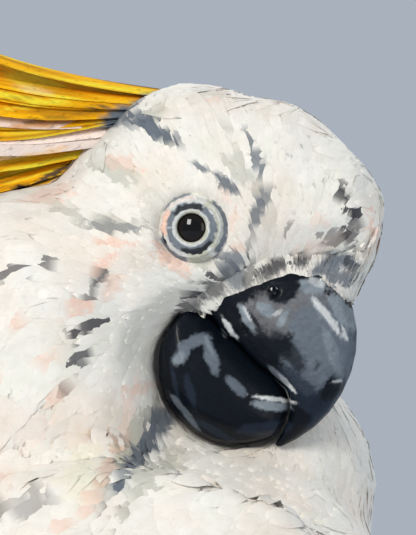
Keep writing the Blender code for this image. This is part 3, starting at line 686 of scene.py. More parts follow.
eyeShape = {
    "ball": 6.8,
    "lidProfile": (  # radius and height out of the middle of the head
        (8.7, 16.4), (8.5, 17.4), (8.0, 18.3), (7.6, 18.8), (7.0, 19.9), (6.6, 19.6),
        (5.7, 20.5), (5.3, 20.3), (4.5, 20.8), (3.8, 20.75), (3.35, 20.2), (3.6, 18.9),
    ),
    "sides": 64,
    "folds": ((0.14, 3, 1), (0.10, 7, 2.3)),  # height, how many round, turn from ring to ring
}
# round the eye: the slate and coal arcs are painted shade in the ring's folds
# tone, radius, half width, middle and half span in degrees, strength
lidTonesAndShade = (
    ("olive", 6.9, 0.9, 49.5, 53.5, 0.9),
    ("pale", 7, 0.35, 48.5, 42.5, 0.6),
    ("slate", 5.3, 0.75, 41, 180, 0.95),
    ("peach", 6.8, 0.75, 210.5, 27.5, 0.95),
    ("slate", 8, 0.5, 44, 51, 0.95),
    ("slate", 8.2, 0.5, 162, 29, 0.85),
    ("blush", 7.1, 0.35, 151, 30, 0.7),
    ("slate", 8, 0.7, 270, 33, 0.95),
    ("coal", 7.3, 0.3, 242.5, 12.5, 1),
    ("pale", 6.9, 0.25, 274, 17, 0.9),
    ("olive", 7.6, 1.2, 324.5, 21.5, 0.95),
    ("pale", 6, 0.2, 73.5, 17.5, 0.9),
    ("coal", 5.1, 0.62, 141, 44, 1),
    ("coal", 5.75, 0.62, 326, 42, 1),
    ("olive", 3.7, 0.45, 41, 180, 0.9),
    ("pale", 4.1, 0.3, 246, 95, 0.7),
)


def lidColour(points):
    local = inHead(points)
    grain = grainAt(points, 1.1)
    radius = np.hypot(local[:, 0], local[:, 2]) + 0.22 * grain
    angle = np.degrees(np.arctan2(local[:, 2], local[:, 0]))
    paler = smooth01(radius, 7.0, 8.4)[:, None]
    mist, white = np.array(tones["mist"]), np.array(tones["white"])
    colour = mist * 0.4 * (1 - paler) + white * (0.6 + 0.4 * paler)
    for tone, middle, width, heading, span, strength in lidTonesAndShade:
        gap = np.abs((angle - heading + 180) % 360 - 180)
        weight = 1 - smooth01(np.abs(radius - middle) / width + 0.15 * grain, 0.75, 1.25)
        weight *= strength * (1 - smooth01(gap, span - 6, span + 4))
        colour = blend(colour, tones[tone], weight[:, None])
    return colour


def makeEye(side, word):
    deselect()
    bpy.ops.mesh.primitive_uv_sphere_add(segments=48, ring_count=24, radius=eyeShape["ball"] * mm)
    ball = bpy.context.object
    ball.name = f"eyeball_{word}"
    facing = headFrame.to_3x3().to_4x4() @ Matrix.Rotation(math.pi / 2, 4, "X")
    ball.data.transform(Matrix.Translation(eyeMiddles[word]) @ facing)
    shadeSmooth(ball)
    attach(ball, "root")
    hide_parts(f"eye_{word}")
    shell = bmesh.new()
    rows = []
    sides = eyeShape["sides"]
    for number, (radius, out) in enumerate(eyeShape["lidProfile"]):
        row = []
        for i in range(sides):
            angle = 2 * math.pi * i / sides
            folds = eyeShape["folds"]
            fold = sum(size * math.sin(many * angle + turn * number) for size, many, turn in folds)
            fold *= 1 if 1 < number < 8 else 0.3
            wide = radius + fold
            point = Vector((wide * math.cos(angle), (out + 0.5 * fold) * side, wide * math.sin(angle)))
            row.append(shell.verts.new(headFrame @ (point * mm)))
        rows.append(row)
    for row, after in zip(rows, rows[1:] + rows[:1]):
        for i in range(sides):
            j = (i + 1) % sides
            shell.faces.new((row[i], row[j], after[j], after[i]))
    bmesh.ops.recalc_face_normals(shell, faces=shell.faces)
    ring = fromShell(f"lids_{word}", shell)
    applied(ring, "SUBSURF", levels=2, render_levels=2)
    shadeSmooth(ring)
    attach(ring, "root")
    paintPoints(ring, lidColour(vertexArrays(ring.data)[0]))
    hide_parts(f"eye_ring_{word}")
    return ball, ring


eyes, lids = zip(makeEye(1, "left"), makeEye(-1, "right"))
print("bill, eyes and feet")

# the folded wing's frame
wingShape = {
    "slope": math.radians(22.4),  # the folded wing's axis, below level
    "wristIn": 8,  # from the coverts' front
    "wristHigh": 0.7,  # share of the coverts' height
}
covertLow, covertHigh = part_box("wing_coverts_left")
wristHigh = covertLow.z + wingShape["wristHigh"] * (covertHigh.z - covertLow.z)
wrist = Vector((covertHigh.x - wingShape["wristIn"] * mm, 0, wristHigh))
wingBack = Vector((-math.cos(wingShape["slope"]), 0, -math.sin(wingShape["slope"])))
wingUp = Vector((-math.sin(wingShape["slope"]), 0, math.cos(wingShape["slope"])))


def wingPlace(back, rise):
    return wrist + wingBack * back * mm + wingUp * rise * mm


def wingCoordinates(points):
    away = (points - np.array(wrist)) / mm
    return away @ np.array(wingBack), away @ np.array(wingUp)


# feathers
bakePatch = 0.003  # across each feather's patch of the bake map


def sectionOffsets(columns):
    # across and height shares round a vane's section: over the top from left to right, back underneath
    top = [1 - 2 * j / columns for j in range(columns + 1)]
    under = [-1 + 2 * j / columns for j in range(1, columns)]
    low = np.array([0.0] * (columns + 1) + [1.0] * (columns - 1))
    return np.array(top + under), low


def vaneFaces(count, stations, ring):
    # the quads along each closed vane, and the strips that close its root and tip
    start = np.arange(count)[:, None, None] * (stations * ring)
    step = np.arange(stations - 1)[None, :, None] * ring
    corner = np.arange(ring)[None, None, :]
    here = start + step + corner
    beside = start + step + (corner + 1) % ring
    faces = [np.stack([here, here + ring, beside + ring, beside], axis=-1).reshape(-1, 4)]
    root, tip = start[:, :, 0], start[:, :, 0] + (stations - 1) * ring
    for j in range(ring // 2 - 1):
        corners = (j, j + 1, ring - 2 - j, ring - 1 - j)
        faces.append(np.concatenate([root + at for at in corners], axis=1))
        faces.append(np.concatenate([tip + at for at in reversed(corners)], axis=1))
    return np.concatenate(faces)


def featherMesh(name, centres, normals, widths, look, rootPlaces, colours):
    # joined closed vanes; centres and normals are (feathers, stations, 3), widths (feathers, stations)
    count, stations = widths.shape
    ways = np.gradient(centres, axis=1)
    across = unit(np.cross(normals, ways))
    outward = unit(np.cross(ways, across))
    share, low = sectionOffsets(look["columns"])
    ring = len(share)
    half = widths[:, :, None] * share / 2
    height = look["cup"] * widths[:, :, None] * (1 - share**2)
    height = height - look["thick"] * mm * (low * (1 - 0.5 * share**2))
    points = centres[:, :, None, :] + across[:, :, None, :] * half[..., None]
    points = (points + outward[:, :, None, :] * height[..., None]).reshape(-1, 3)
    faces = vaneFaces(count, stations, ring)
    mesh = bpy.data.meshes.new(name)
    mesh.vertices.add(len(points))
    mesh.vertices.foreach_set("co", points.ravel())
    mesh.loops.add(faces.size)
    mesh.loops.foreach_set("vertex_index", faces.ravel().astype(np.int32))
    mesh.polygons.add(len(faces))
    mesh.polygons.foreach_set("loop_start", (np.arange(len(faces)) * 4).astype(np.int32))
    mesh.polygons.foreach_set("use_smooth", np.ones(len(faces), dtype=bool))
    mesh.update(calc_edges=True)
    steps = np.linalg.norm(np.diff(centres, axis=1), axis=2)
    along = np.concatenate([np.zeros((count, 1)), np.cumsum(steps, axis=1)], axis=1)
    u = np.broadcast_to(share * 0.5 + 0.5, half.shape)
    v = np.broadcast_to((along / along[:, -1:])[:, :, None], half.shape)
    patch = np.stack([u, v], axis=-1) * bakePatch - bakePatch / 2 + rootPlaces[:, None, None, :]
    centimetres = np.broadcast_to((along / mm * 0.01)[:, :, None], half.shape)
    vane = np.stack([half / mm * 0.01 + 0.5, centimetres], axis=-1)
    rim = np.empty(len(mesh.edges) * 2, dtype=np.int32)
    mesh.edges.foreach_get("vertices", rim)
    rim = rim.reshape(-1, 2) % ring
    sharp = mesh.attributes.new("sharp_edge", "BOOLEAN", "EDGE")
    sharp.data.foreach_set("value", (rim == 0).all(axis=1) | (rim == look["columns"]).all(axis=1))
    for layerName, places in (("OFBake", patch), ("vane", vane)):
        layer = mesh.uv_layers.new(name=layerName)
        layer.data.foreach_set("uv", places.reshape(-1, 2)[faces.ravel()].ravel())
    mesh.uv_layers.active = mesh.uv_layers["OFBake"]
    piece = placed(name, mesh)
    if callable(colours):
        paintPoints(piece, colours(points, half.shape))
    else:
        paintPoints(piece, np.broadcast_to(colours[:, :, None, :], (*half.shape, 3)).reshape(-1, 3))
    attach(piece, "root")
    return piece


def skinPlaces(points):
    # where points fall on the skin's unwrap
    found = [skinMap.tree.find_nearest(Vector(point))[2] for point in points]
    return unwrap[skinMap.loops[found]].mean(axis=1)


coatLie = {
    "from": (26.0, 0.0, -4.0),  # the coat fans out from here, in the head's frame
    "neck": (-0.45, 0.0, -0.9),
    "throat": (-0.12, 0.0, -1.0),
    "body": (-0.92, 0.0, -0.38),
    "belly": (-0.45, 0.0, -0.9),
    "throatFrom": (120, 170),  # millimetres forward, where the throat and the belly begin
    "bellyUnder": (90, 190),
    "bodyUnder": (165, 215),
    "headWithin": (30, 62),
}


def flowAt(points):
    # which way the coat lies: away from the bill, down the neck, back along the body and wings
    local = inHead(points)
    away = local - np.array(coatLie["from"])
    away[:, 1] *= 0.6
    headWay = unit(away) @ headTurn.T
    world = points / mm
    front = smooth01(world[:, 0], *coatLie["throatFrom"])[:, None]
    low = (1 - smooth01(world[:, 2], *coatLie["bellyUnder"]))[:, None] * front
    neckWay = blend(coatLie["neck"], coatLie["throat"], front)
    bodyWay = blend(coatLie["body"], coatLie["belly"], low)
    lower = blend(neckWay, bodyWay, (1 - smooth01(world[:, 2], *coatLie["bodyUnder"]))[:, None])
    fromHead = np.linalg.norm(local, axis=1)
    return unit(blend(lower, headWay, (1 - smooth01(fromHead, *coatLie["headWithin"]))[:, None]))


# a feather's millimetres by distance from the bill, and the most by the legs' height and along the rump
coatLength = {
    "from": (26.0, 0.0, -8.0),
    "fromBill": ([14, 30, 50, 80, 120, 200], [4.0, 6.5, 9.5, 14.0, 20.0, 26.0]),
    "legs": ([36, 50, 80, 110], [7, 10, 16, 26]),
    "rump": ([-70, 0, 60, 110], [11, 14, 18, 26]),
    "nearEye": (3.2, 0.42, 9.5),  # shortest, how fast they grow, and from where
}


def lengthAt(points):
    fromBill = np.linalg.norm(inHead(points) - np.array(coatLength["from"]), axis=1)
    size = np.interp(fromBill, *coatLength["fromBill"])
    shortest, grows, start = coatLength["nearEye"]
    nearEye = shortest + grows * np.maximum(eyeDistance(points) - start, 0)
    legs = np.interp(points[:, 2] / mm, *coatLength["legs"])
    rump = np.interp(points[:, 0] / mm, *coatLength["rump"])
    rump = np.where(np.abs(points[:, 1]) < 0.032, rump, 40)
    return np.minimum(np.minimum(size, nearEye), np.minimum(legs, rump))


def spreadRoots(candidates, spacing):
    # keeps candidates that are at least their spacing apart
    steps = list(itertools.product((-1, 0, 1), repeat=3))
    grid = {}
    kept = []
    keys = np.floor(candidates / spacing.max()).astype(int)
    for i, (x, y, z) in enumerate(keys.tolist()):
        around = (j for dx, dy, dz in steps for j in grid.get((x + dx, y + dy, z + dz), ()))
        gaps = (candidates[i] - candidates[j] for j in around)
        if all(gap @ gap >= spacing[i] ** 2 for gap in gaps):
            grid.setdefault((x, y, z), []).append(i)
            kept.append(i)
    return np.array(kept)


def lay(start, way, length, stations, tree):
    # walks a line over the surface from a root; gives the places and the surface normals
    spot, way = Vector(start), Vector(way)
    step = length * mm / (stations - 1)
    places, normals = [], []
    for _ in range(stations):
        hit, normal, _, _ = tree.find_nearest(spot)
        places.append(hit)
        normals.append(normal)
        way = (way - normal * way.dot(normal)).normalized()
        spot = hit + way * step
    return places, normals


def scatter(name, zone, look, surface=skinMap, ways=flowAt, heights=None):
    # lays overlapping feathers over the part of the skin, or of another surface, that the zone picks
    middles = surface.middles
    weight = surface.areas * zone / (lengthAt(middles) * look["spacing"]) ** 2
    tries = int(look["tries"] * weight.sum() / mm**2)
    picked = chance.choice(len(middles), size=tries, p=weight / weight.sum())
    shares = chance.dirichlet((1, 1, 1), size=tries)
    roots = np.einsum("ij,ijk->ik", shares, surface.points[surface.corners[picked]])
    roots = roots[spreadRoots(roots, lengthAt(roots) * look["spacing"] * look["apart"] * mm)]
    count, stations = len(roots), look["stations"]
    size = lengthAt(roots) * chance.uniform(*look["uneven"], count) * look["longer"]
    headings = unit(ways(roots) + chance.normal(0, look["stray"], (count, 3)))
    centres, normals = np.empty((2, count, stations, 3))
    for i in range(count):
        centres[i], normals[i] = lay(roots[i], headings[i], size[i], stations, surface.tree)
    t = np.linspace(0, 1, stations)
    lifts = (look["lift"] * size * chance.uniform(*look["uneven"], count))[:, None]
    raised = look["raised"] * smooth01(wingCoordinates(roots)[0], 22, 50)[:, None]
    deep = look["rootDeep"] * (1 - smooth01(t, 0, 0.5))
    if heights is not None:
        raised = raised + heights(centres.reshape(-1, 3)).reshape(count, stations)
    rise = (np.sin(math.pi * 0.62 * t) * lifts - look["sunk"] + raised - deep) * mm
    centres = centres + normals * rise[..., None]
    outline = np.interp(t, *look["outline"])
    widths = size[:, None] * look["width"] * chance.uniform(0.85, 1.15, (count, 1)) * outline * mm
    grain = np.repeat(chance.normal(0, look["ragged"], count), stations)
    colours = plumageColour(centres.reshape(-1, 3), grain).reshape(count, stations, 3)
    # each feather its own shade at random, and darker towards its root: painted shade under the feathers
    # that overlap it
    shade = chance.normal(1.0, look["mottle"], (count, 1)) * (0.93 + 0.07 * t)
    colours = colours * shade[..., None]
    piece = featherMesh(name, centres, normals, widths, look, skinPlaces(roots), colours)
    print(name, count, "feathers", sum(len(p.vertices) - 2 for p in piece.data.polygons), "triangles")
    return piece


headLook = {
    "spacing": 0.175,  # share of a feather's length between roots
    "tries": 2.4,  # roots tried for each place there is
    "apart": 0.8,  # share of the spacing that neighbours keep
    "uneven": (0.85, 1.2),  # shortest and longest, of the length there
    "width": 0.24,
    "lift": 0.038,
    "sunk": 0.08,
    "stray": 0.07,
    "stations": 7,
    "columns": 2,
    "outline": ([0, 0.3, 0.6, 0.85, 1], [0.5, 1.0, 0.95, 0.6, 0.05]),
    "cup": 0.035,
    "thick": 0.04,
    "mottle": 0.02,
    "longer": 1.5,
    "raised": 0,  # extra height towards the folded wing's middle
    "rootDeep": 0,
    "ragged": 1,  # how unevenly marks end from feather to feather
}
neckLook = dict(headLook, spacing=0.155, width=0.27, stations=5, sunk=0.15, lift=0.045)
bodyLook = dict(headLook, spacing=0.19, width=0.46, lift=0.035, stations=6, columns=4, sunk=0.3)
bodyLook.update(thick=0.1, longer=1.3, outline=([0, 0.25, 0.6, 0.85, 1], [0.4, 0.9, 1.0, 0.62, 0.05]))
lesserLook = dict(bodyLook, longer=0.9, lift=0.07, sunk=-0.4, raised=2.8)
innerLook = dict(bodyLook, spacing=0.15, longer=0.45, columns=2, lift=0.06, sunk=-0.2)
bridgeLook = dict(bodyLook, sunk=1.5, rootDeep=1.5, width=0.48, spacing=0.15, longer=1.1)
shoulderLook = dict(bridgeLook, spacing=0.14, longer=0.8, sunk=1.7, columns=2)
browLook = dict(headLook, spacing=0.15, sunk=0.0, lift=0.01, rootDeep=0.5)
fringeLook = dict(headLook, spacing=0.125, width=0.15, longer=1.25, stray=0.1, sunk=0, lift=0)
fringeLook.update(rootDeep=1.8, ragged=0.3, outline=([0, 0.3, 0.6, 0.85, 1], [0.6, 1.0, 1.0, 0.8, 0.2]))

# which part of the skin each kind of feather covers
zones = {
    "head": 48,  # millimetres from between the eyes
    "neck": (46, 118),
    "body": 112,
    "face": -3,  # along the bill; the crown lies behind it
    "bareAtBill": 1.0,
    "bareAtEye": 8.0,
    "wingGap": 0.006,  # metres from the wing's solids
    "lesserTo": 55,  # back from the wrist, and further along the upper rows
    "upperRows": (20, 105),
    "wingEnd": (170, 18),
}
middles = skinMap.middles
headRange = np.linalg.norm(inHead(middles), axis=1)
wingGap = distances(wingTree, middles, bodyReach)
onWing = (wingGap < distances(trunkTree, middles, bodyReach)) & (wingGap < zones["wingGap"])
bare = distances(billTree, middles, billReach) / mm < zones["bareAtBill"]
bare |= eyeDistance(middles) < zones["bareAtEye"]
wingBackAt, wingRiseAt = wingCoordinates(middles)
outerFace = skinMap.facing[:, 1] * np.sign(middles[:, 1]) > 0.35
front = inHead(middles)[:, 0] > zones["face"]
headZone = (headRange < zones["head"]) & ~bare
neckZone = (headRange >= zones["neck"][0]) & (headRange < zones["neck"][1]) & ~bare & ~onWing
bodyZone = (headRange >= zones["body"]) & ~onWing
upper, upperTo = zones["upperRows"]
lesserZone = onWing & ((wingBackAt < zones["lesserTo"]) | (wingRiseAt > upper) & (wingBackAt < upperTo))
endBack, endRise = zones["wingEnd"]
innerZone = onWing & ~lesserZone & (~outerFace | (wingBackAt > endBack) & (wingRiseAt > endRise))
leftSide = middles[:, 1] > 0

# feathers that lie forward from the forehead over the cere, bridging the crease between them
hullShape = {"closeGaps": 5.0, "grain": 0.8, "smoothing": 6, "shrink": 1.06}
hull = surfaceOf(closedCopy("hull", ["head", "cere", "bill_upper"], hullShape))
hullLocal = inHead(hull.middles)
# how far along the bill the feathers reach, at heights from the gape to the brow
coverEdge = ((-23, 12.2), (-14, 15.2), (-2, 19.6), (4, 22.2), (8, 26.2), (11, 33.3), (13, 38), (16, 46))
coverZone = {"rootsShort": 4.2, "above": -15, "ahead": 6, "gap": 0.006}
reach = np.interp(hullLocal[:, 2], *zip(*coverEdge)) - coverZone["rootsShort"]
cereZone = (hullLocal[:, 0] < reach) & (hullLocal[:, 0] > coverZone["ahead"])
cereZone &= hullLocal[:, 2] > coverZone["above"]
cereZone &= distances(billTree, hull.middles, billReach) < coverZone["gap"]

# where the brow bridge runs in the head's frame, from low and back to high and front, and what of it roots
browShape = {"from": (27, 9), "to": (46, 36), "halfWidth": 6.5, "grain": 0.8, "smoothing": 4}
browRoots = {"ahead": 29, "height": (12, 33)}


def browBridge():
    # the straight way from the forehead's front down to the bill, over the middle of the face
    local = inHead(hull.points)
    (lowX, lowZ), (highX, highZ) = browShape["from"], browShape["to"]
    chosen = (local[:, 0] > lowX) & (local[:, 0] < highX) & (local[:, 2] > lowZ) & (local[:, 2] < highZ)
    chosen &= np.abs(local[:, 1]) < browShape["halfWidth"]
    shell = bmesh.new()
    for point in hull.points[chosen]:
        shell.verts.new(point)
    made = bmesh.ops.convex_hull(shell, input=shell.verts)
    spare = set(made["geom_interior"]) | set(made["geom_unused"])
    spare = [part for part in spare if isinstance(part, bmesh.types.BMVert)]
    bmesh.ops.delete(shell, geom=spare, context="VERTS")
    piece = fromShell("brow", shell)
    remesh(piece, browShape, browShape["smoothing"])
    return surfaceOf(piece)


brow = browBridge()
browLocal = inHead(brow.middles)
lowest, highest = browRoots["height"]
browZone = (browLocal[:, 2] > lowest) & (browLocal[:, 2] < highest)
browZone &= browLocal[:, 0] > browRoots["ahead"]


coatHeight = {  # millimetres of height, then the distances over which it comes or goes
    "billMiddle": (40.0, 0.0, -12.0),  # the feathers over the bill's base point here
    "cere": (-1.1, 0.6, 4.0),
    "crown": (2.2, 6, 22),
    "crownMiddle": (-27, 21),
    "eye": (0.6, 9.5, 17),
    "brow": (-1.0, 0.1, 1.6),
}


def towardsBill(points):
    middle = headAt + (np.array(coatHeight["billMiddle"]) @ headTurn.T) * mm
    return unit(middle - points)


def cereHeights(points):
    # the cover starts level with the coat around it and rises to the bill
    height, *fade = coatHeight["cere"]
    return height * smooth01(distances(billTree, points, billReach) / mm, *fade)


def around(word, gaps):
    height, *fade = coatHeight[word]
    return height * (1 - smooth01(gaps, *fade))


def headHeights(points):
    # the coat stands fuller where the crest starts and round the eyes
    local = inHead(points)
    x, z = coatHeight["crownMiddle"]
    crown = around("crown", np.hypot(local[:, 0] - x, local[:, 2] - z))
    return crown + around("eye", eyeDistance(points))


def browHeights(points):
    # level with the coat at the forehead, into the bill at its base
    return around("brow", distances(hull.tree, points, bodyReach) / mm)


coatRows = {
    "faceFeathers": (headZone & front, headLook, headHeights),
    "crownFeathers": (headZone & ~front, headLook, headHeights),
    "neckFeathers": (neckZone, neckLook, None),
    "bodyFeathers": (bodyZone, bodyLook, None),
    "innerWing": (innerZone, innerLook, None),
    "lesserCoverts": (lesserZone, lesserLook, None),
}
coat = []
for word, half in (("left", leftSide), ("right", ~leftSide)):
    for name, (zone, look, heights) in coatRows.items():
        coat.append(scatter(f"{name}_{word}", zone & half, look, heights=heights))

# contour feathers over the hollows between the body and the folded wings
bodyHullShape = {"closeGaps": 11, "grain": 2.2, "smoothing": 6, "shrink": 1.0}
bodyHull = surfaceOf(closedCopy("hull", ["trunk", "neck", *wingNodes], bodyHullShape))
hollows = {
    "gap": 0.0006,  # metres over the solids
    "back": (-62, 105),
    "backHalf": 34,
    "backFacing": 0.15,
    "shoulderOut": 22,
    "shoulderTop": 206,
}
x, y, z = (bodyHull.middles / mm).T
hollow = distances(bodyTree, bodyHull.middles, bodyReach) > hollows["gap"]
rear, fore = hollows["back"]
backZone = (x < fore) & (x > rear) & (np.abs(y) < hollows["backHalf"])
backZone &= bodyHull.facing[:, 2] > hollows["backFacing"]
shoulderZone = (x > fore) & (np.abs(y) > hollows["shoulderOut"]) & (z < hollows["shoulderTop"])
coat.append(scatter("backFeathers", backZone & hollow, bridgeLook, bodyHull))
coat.append(scatter("shoulderFeathers", shoulderZone & hollow, shoulderLook, bodyHull))
coat.append(scatter("cereFeathers", cereZone, fringeLook, hull, towardsBill, cereHeights))
coat.append(scatter("browFeathers", browZone, browLook, brow, towardsBill, browHeights))


# flight feathers
def smoothRows(values, times):
    for _ in range(times):
        middle = (values[:, :-2] + 2 * values[:, 1:-1] + values[:, 2:]) / 4
        values = np.concatenate([values[:, :1], middle, values[:, -1:]], axis=1)
    return values


def longFeathers(name, centres, normals, widths, look, t):
    # white vanes, each its own shade at random, darker towards the root as painted shade under the
    # feathers that overlap it
    count = len(centres)
    paler = look["rootTone"] + (1 - look["rootTone"]) * t
    shade = chance.normal(1.0, look["mottle"], (count, 1, 1)) * paler[None, :, None]
    widths = widths * np.interp(t, *look["outline"]) * mm
    colours = np.array(tones["white"]) * shade
    piece = featherMesh(name, centres, normals, widths, look, skinPlaces(centres[:, 0]), colours)
    return piece


# metres from the midline: where the rays to the wing start, how far they go, and where a missed one looks
wingRays = {"from": 0.12, "reach": 0.11, "missed": 0.035}


def wingFeathers(name, lines, look, side, tree, over, stack):
    # laid on the solids' outer side; a line is (root back, root rise, tip back, tip rise)
    count = len(lines)
    stations = look["stations"]
    centres, normals = np.empty((2, count, stations, 3))
    t = np.linspace(0, 1, stations) ** look["crowd"]
    stray = (1.5, look["uneven"], 0.5)
    for i, (rootBack, rootRise, tipBack, tipRise) in enumerate(lines):
        rootBack, tipBack, tipRise = chance.normal((rootBack, tipBack, tipRise), stray)
        for k in range(stations):
            back = rootBack + (tipBack - rootBack) * t[k]
            place = wingPlace(back, rootRise + (tipRise - rootRise) * t[k])
            place.y = side * wingRays["from"]
            hit, normal, _, _ = tree.ray_cast(place, Vector((0, -side, 0)), wingRays["reach"])
            if hit is None:
                inside = Vector((place.x, side * wingRays["missed"], place.z))
                hit = Vector((place.x, tree.find_nearest(inside)[0].y, place.z))
                normal = Vector((0, side, 0.1))
            if normal.y * side < 0.3:
                normal = Vector((0, side, 0.2))
            centres[i, k] = hit
            outward = (normal.normalized() + Vector((0, side * 1.5, 0))).normalized()
            normals[i, k] = outward + wingUp * look["tilt"]
    centres[:, :, 1] = smoothRows(centres[:, :, 1], 4)
    normals = unit(smoothRows(unit(normals), 5))
    deep = look["rootDeep"] * (1 - smooth01(t, 0, 0.4))
    lift = (over + stack * np.arange(count)[:, None] + look["tipLift"] * t**2 - deep) * mm
    centres = centres + normals * lift[..., None]
    widths = look["width"] * chance.uniform(0.94, 1.06, (count, 1))
    return longFeathers(name, centres, normals, widths, look, t)


flightLook = {
    "stations": 22,
    "crowd": 0.8,  # below 1 crowds the stations towards the tip
    "columns": 8,
    "cup": 0.03,
    "thick": 0.4,
    "width": 21,
    "tipLift": 0.6,
    "rootDeep": 0,
    # rootTone: how dark the root is, painted shade under the overlapping feathers
    "rootTone": 0.9,
    "mottle": 0.015,
    "uneven": 1.5,
    "tilt": 0.06,  # raises each vane's lower edge over the feather below
    "outline": ([0, 0.1, 0.5, 0.86, 0.94, 0.98, 1], [0.5, 0.75, 1.0, 0.92, 0.70, 0.40, 0.12]),
}
covertLook = dict(flightLook, stations=12, width=16, cup=0.05, thick=0.25, tilt=0.05, uneven=2.5)
covertLook.update(tipLift=0.9, rootDeep=4.0)
covertLook["outline"] = ([0, 0.1, 0.5, 0.75, 0.9, 0.97, 1], [0.5, 0.75, 1.0, 0.95, 0.72, 0.42, 0.12])
medianLook = dict(covertLook, width=14)
# how many; root back, root rise, tip back and tip rise of the lowest and the highest; look; height over
# the wing, and over each other
wingRows = {
    "primaryFeathers": (7, (150, 110), (2, 16), (338, 285), (9, 25), flightLook, 0.2, 0.1),
    "secondaryFeathers": (9, (86, 80), (-20, 33), (266, 205), (0, 36), flightLook, 0.3, 0.06),
    "greaterCoverts": (8, (60, 54), (-24, 26), (130, 120), (-21, 30), covertLook, 0.5, 0.06),
    "medianCoverts": (8, (36, 30), (-23, 24), (98, 88), (-22, 26), medianLook, 0.6, 0.06),
}


def makeWing(side, word):
    tree = treeOf(f"wing_coverts_{word}", f"secondaries_{word}", f"primaries_{word}")
    made = []
    for name, (count, *ends, look, over, stack) in wingRows.items():
        lines = list(zip(*[np.linspace(first, last, count) for first, last in ends]))
        made.append(wingFeathers(f"{name}_{word}", lines, look, side, tree, over, stack))
    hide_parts(f"primaries_{word}")
    return made


tailShape = dict(
    flightLook,
    pairs=6,
    spread=1.05,  # degrees between neighbours
    rootStep=2.2,
    rootIn=10,  # how far the roots lie inside the rump
    shorter=1.2,
    drop=0.35,
    fan=1.25,
    castFrom=0.2,  # metres up, where the rays down to the tail start
    width=27,
    crowd=0.85,
    cup=0.04,
    thick=0.5,
)


def makeTail():
    low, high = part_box("tail")
    tree = treeOf("tail")
    stations = tailShape["stations"]
    t = np.linspace(0, 1, stations) ** tailShape["crowd"]
    centres = []
    normals = []
    for number in reversed(range(tailShape["pairs"])):
        for side in (1, -1):
            heading = math.radians(tailShape["spread"] * (number + 0.5) * side)
            rootY = tailShape["rootStep"] * (number + 0.5) * side * mm
            rootX = high.x + tailShape["rootIn"] * mm
            length = (rootX - low.x) - (tailShape["shorter"] * number**1.5 + 1) * mm
            line = []
            for k in range(stations):
                x = rootX - length * t[k]
                y = rootY + math.tan(heading) * length * t[k] * tailShape["fan"]
                hit = below(tree, x, y, tailShape["castFrom"])
                if hit is None:
                    hit = tree.find_nearest(Vector((x, y, line[-1][2] if line else high.z)))[0]
                line.append((x, y, hit.z - tailShape["drop"] * number * mm))
            centres.append(line)
            normals.append([(0.25, side * 0.02 * number, 1)] * stations)
    centres = np.array(centres)
    centres[:, :, 2] = smoothRows(centres[:, :, 2], 5)
    widths = np.full((len(centres), 1), tailShape["width"])
    piece = longFeathers("tailFeathers", centres, unit(np.array(normals)), widths, tailShape, t)
    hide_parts("tail")
    return piece


rumpShape = dict(
    covertLook,
    rows=((-60, 9, 64), (-44, 8, 60), (-28, 7, 54)),  # x of the roots, how many, how long
    rootSpread=2.6,
    tipSpread=3.4,
    width=14,
    clear=1.3,
    round=0.015,
    stations=14,
    cup=0.08,
    rootTone=1,
    castFrom=0.3,
    # metres beside the middle where the height is taken, the wings' upper edges too
    beside=(-0.011, -0.008, -0.004, 0.0004, 0.004, 0.008, 0.011),
)


def makeTailCoverts():
    # feathers that bridge the step from the rump down to the tail
    tree = treeOf("tail")
    t = np.linspace(0, 1, rumpShape["stations"])
    rootSpread, tipSpread = rumpShape["rootSpread"], rumpShape["tipSpread"]
    places = list(itertools.product(rumpShape["beside"], (skinMap.tree, tree)))
    centres = []
    for number, (rootX, count, length) in enumerate(rumpShape["rows"]):
        for i in range(count):
            across = i - (count - 1) / 2
            long = length * (1 - 0.018 * across**2)
            line = []
            for share in t:
                x = (rootX - long * share) * mm
                y = across * (rootSpread * (1 - share) + tipSpread * share) * mm
                hits = [below(surface, x, beside, rumpShape["castFrom"]) for beside, surface in places]
                top = max([hit.z for hit in hits if hit], default=-1.0)
                line.append([x, y, top - rumpShape["round"] * (y / mm) ** 2 * mm])
            line = np.array(line)
            ease = line[0, 2] + (line[-1, 2] - line[0, 2]) * t
            clear = rumpShape["clear"] * (0.5 * number + 1 + t - 2.4 * (1 - smooth01(t, 0, 0.25)))
            line[:, 2] = np.maximum(line[:, 2], ease) + clear * mm
            centres.append(line)
    centres = np.array(centres)
    centres[:, :, 2] = smoothRows(centres[:, :, 2], 6)
    normals = np.zeros_like(centres)
    normals[:, :, 0] = 0.35
    normals[:, :, 1] = centres[:, :, 1] * 12
    normals[:, :, 2] = 1
    widths = rumpShape["width"] * chance.uniform(0.9, 1.1, (len(centres), 1))
    return longFeathers("tailCoverts", centres, unit(normals), widths, rumpShape, t)


flight = makeWing(1, "left") + makeWing(-1, "right") + [makeTail(), makeTailCoverts()]
print("wings and tail")

# the crest
crestShape = {
    "stations": 48,
    "columns": 10,
    "late": 2.6,  # how late along a plume it curls up
    "thick": 0.35,
    "cup": 0.12,
    "outline": ([0, 0.15, 0.45, 0.75, 0.92, 1], [0.35, 0.8, 1.0, 0.8, 0.45, 0.05]),
    "streaks": 3.2,  # how many fit across a plume
    "streakTones": (
        ("lemon", 0.2, 0.55, 0.8),
        ("orange", -0.25, -0.6, 0.65),
        ("ochre", -0.65, -0.95, 0.4),
    ),
}
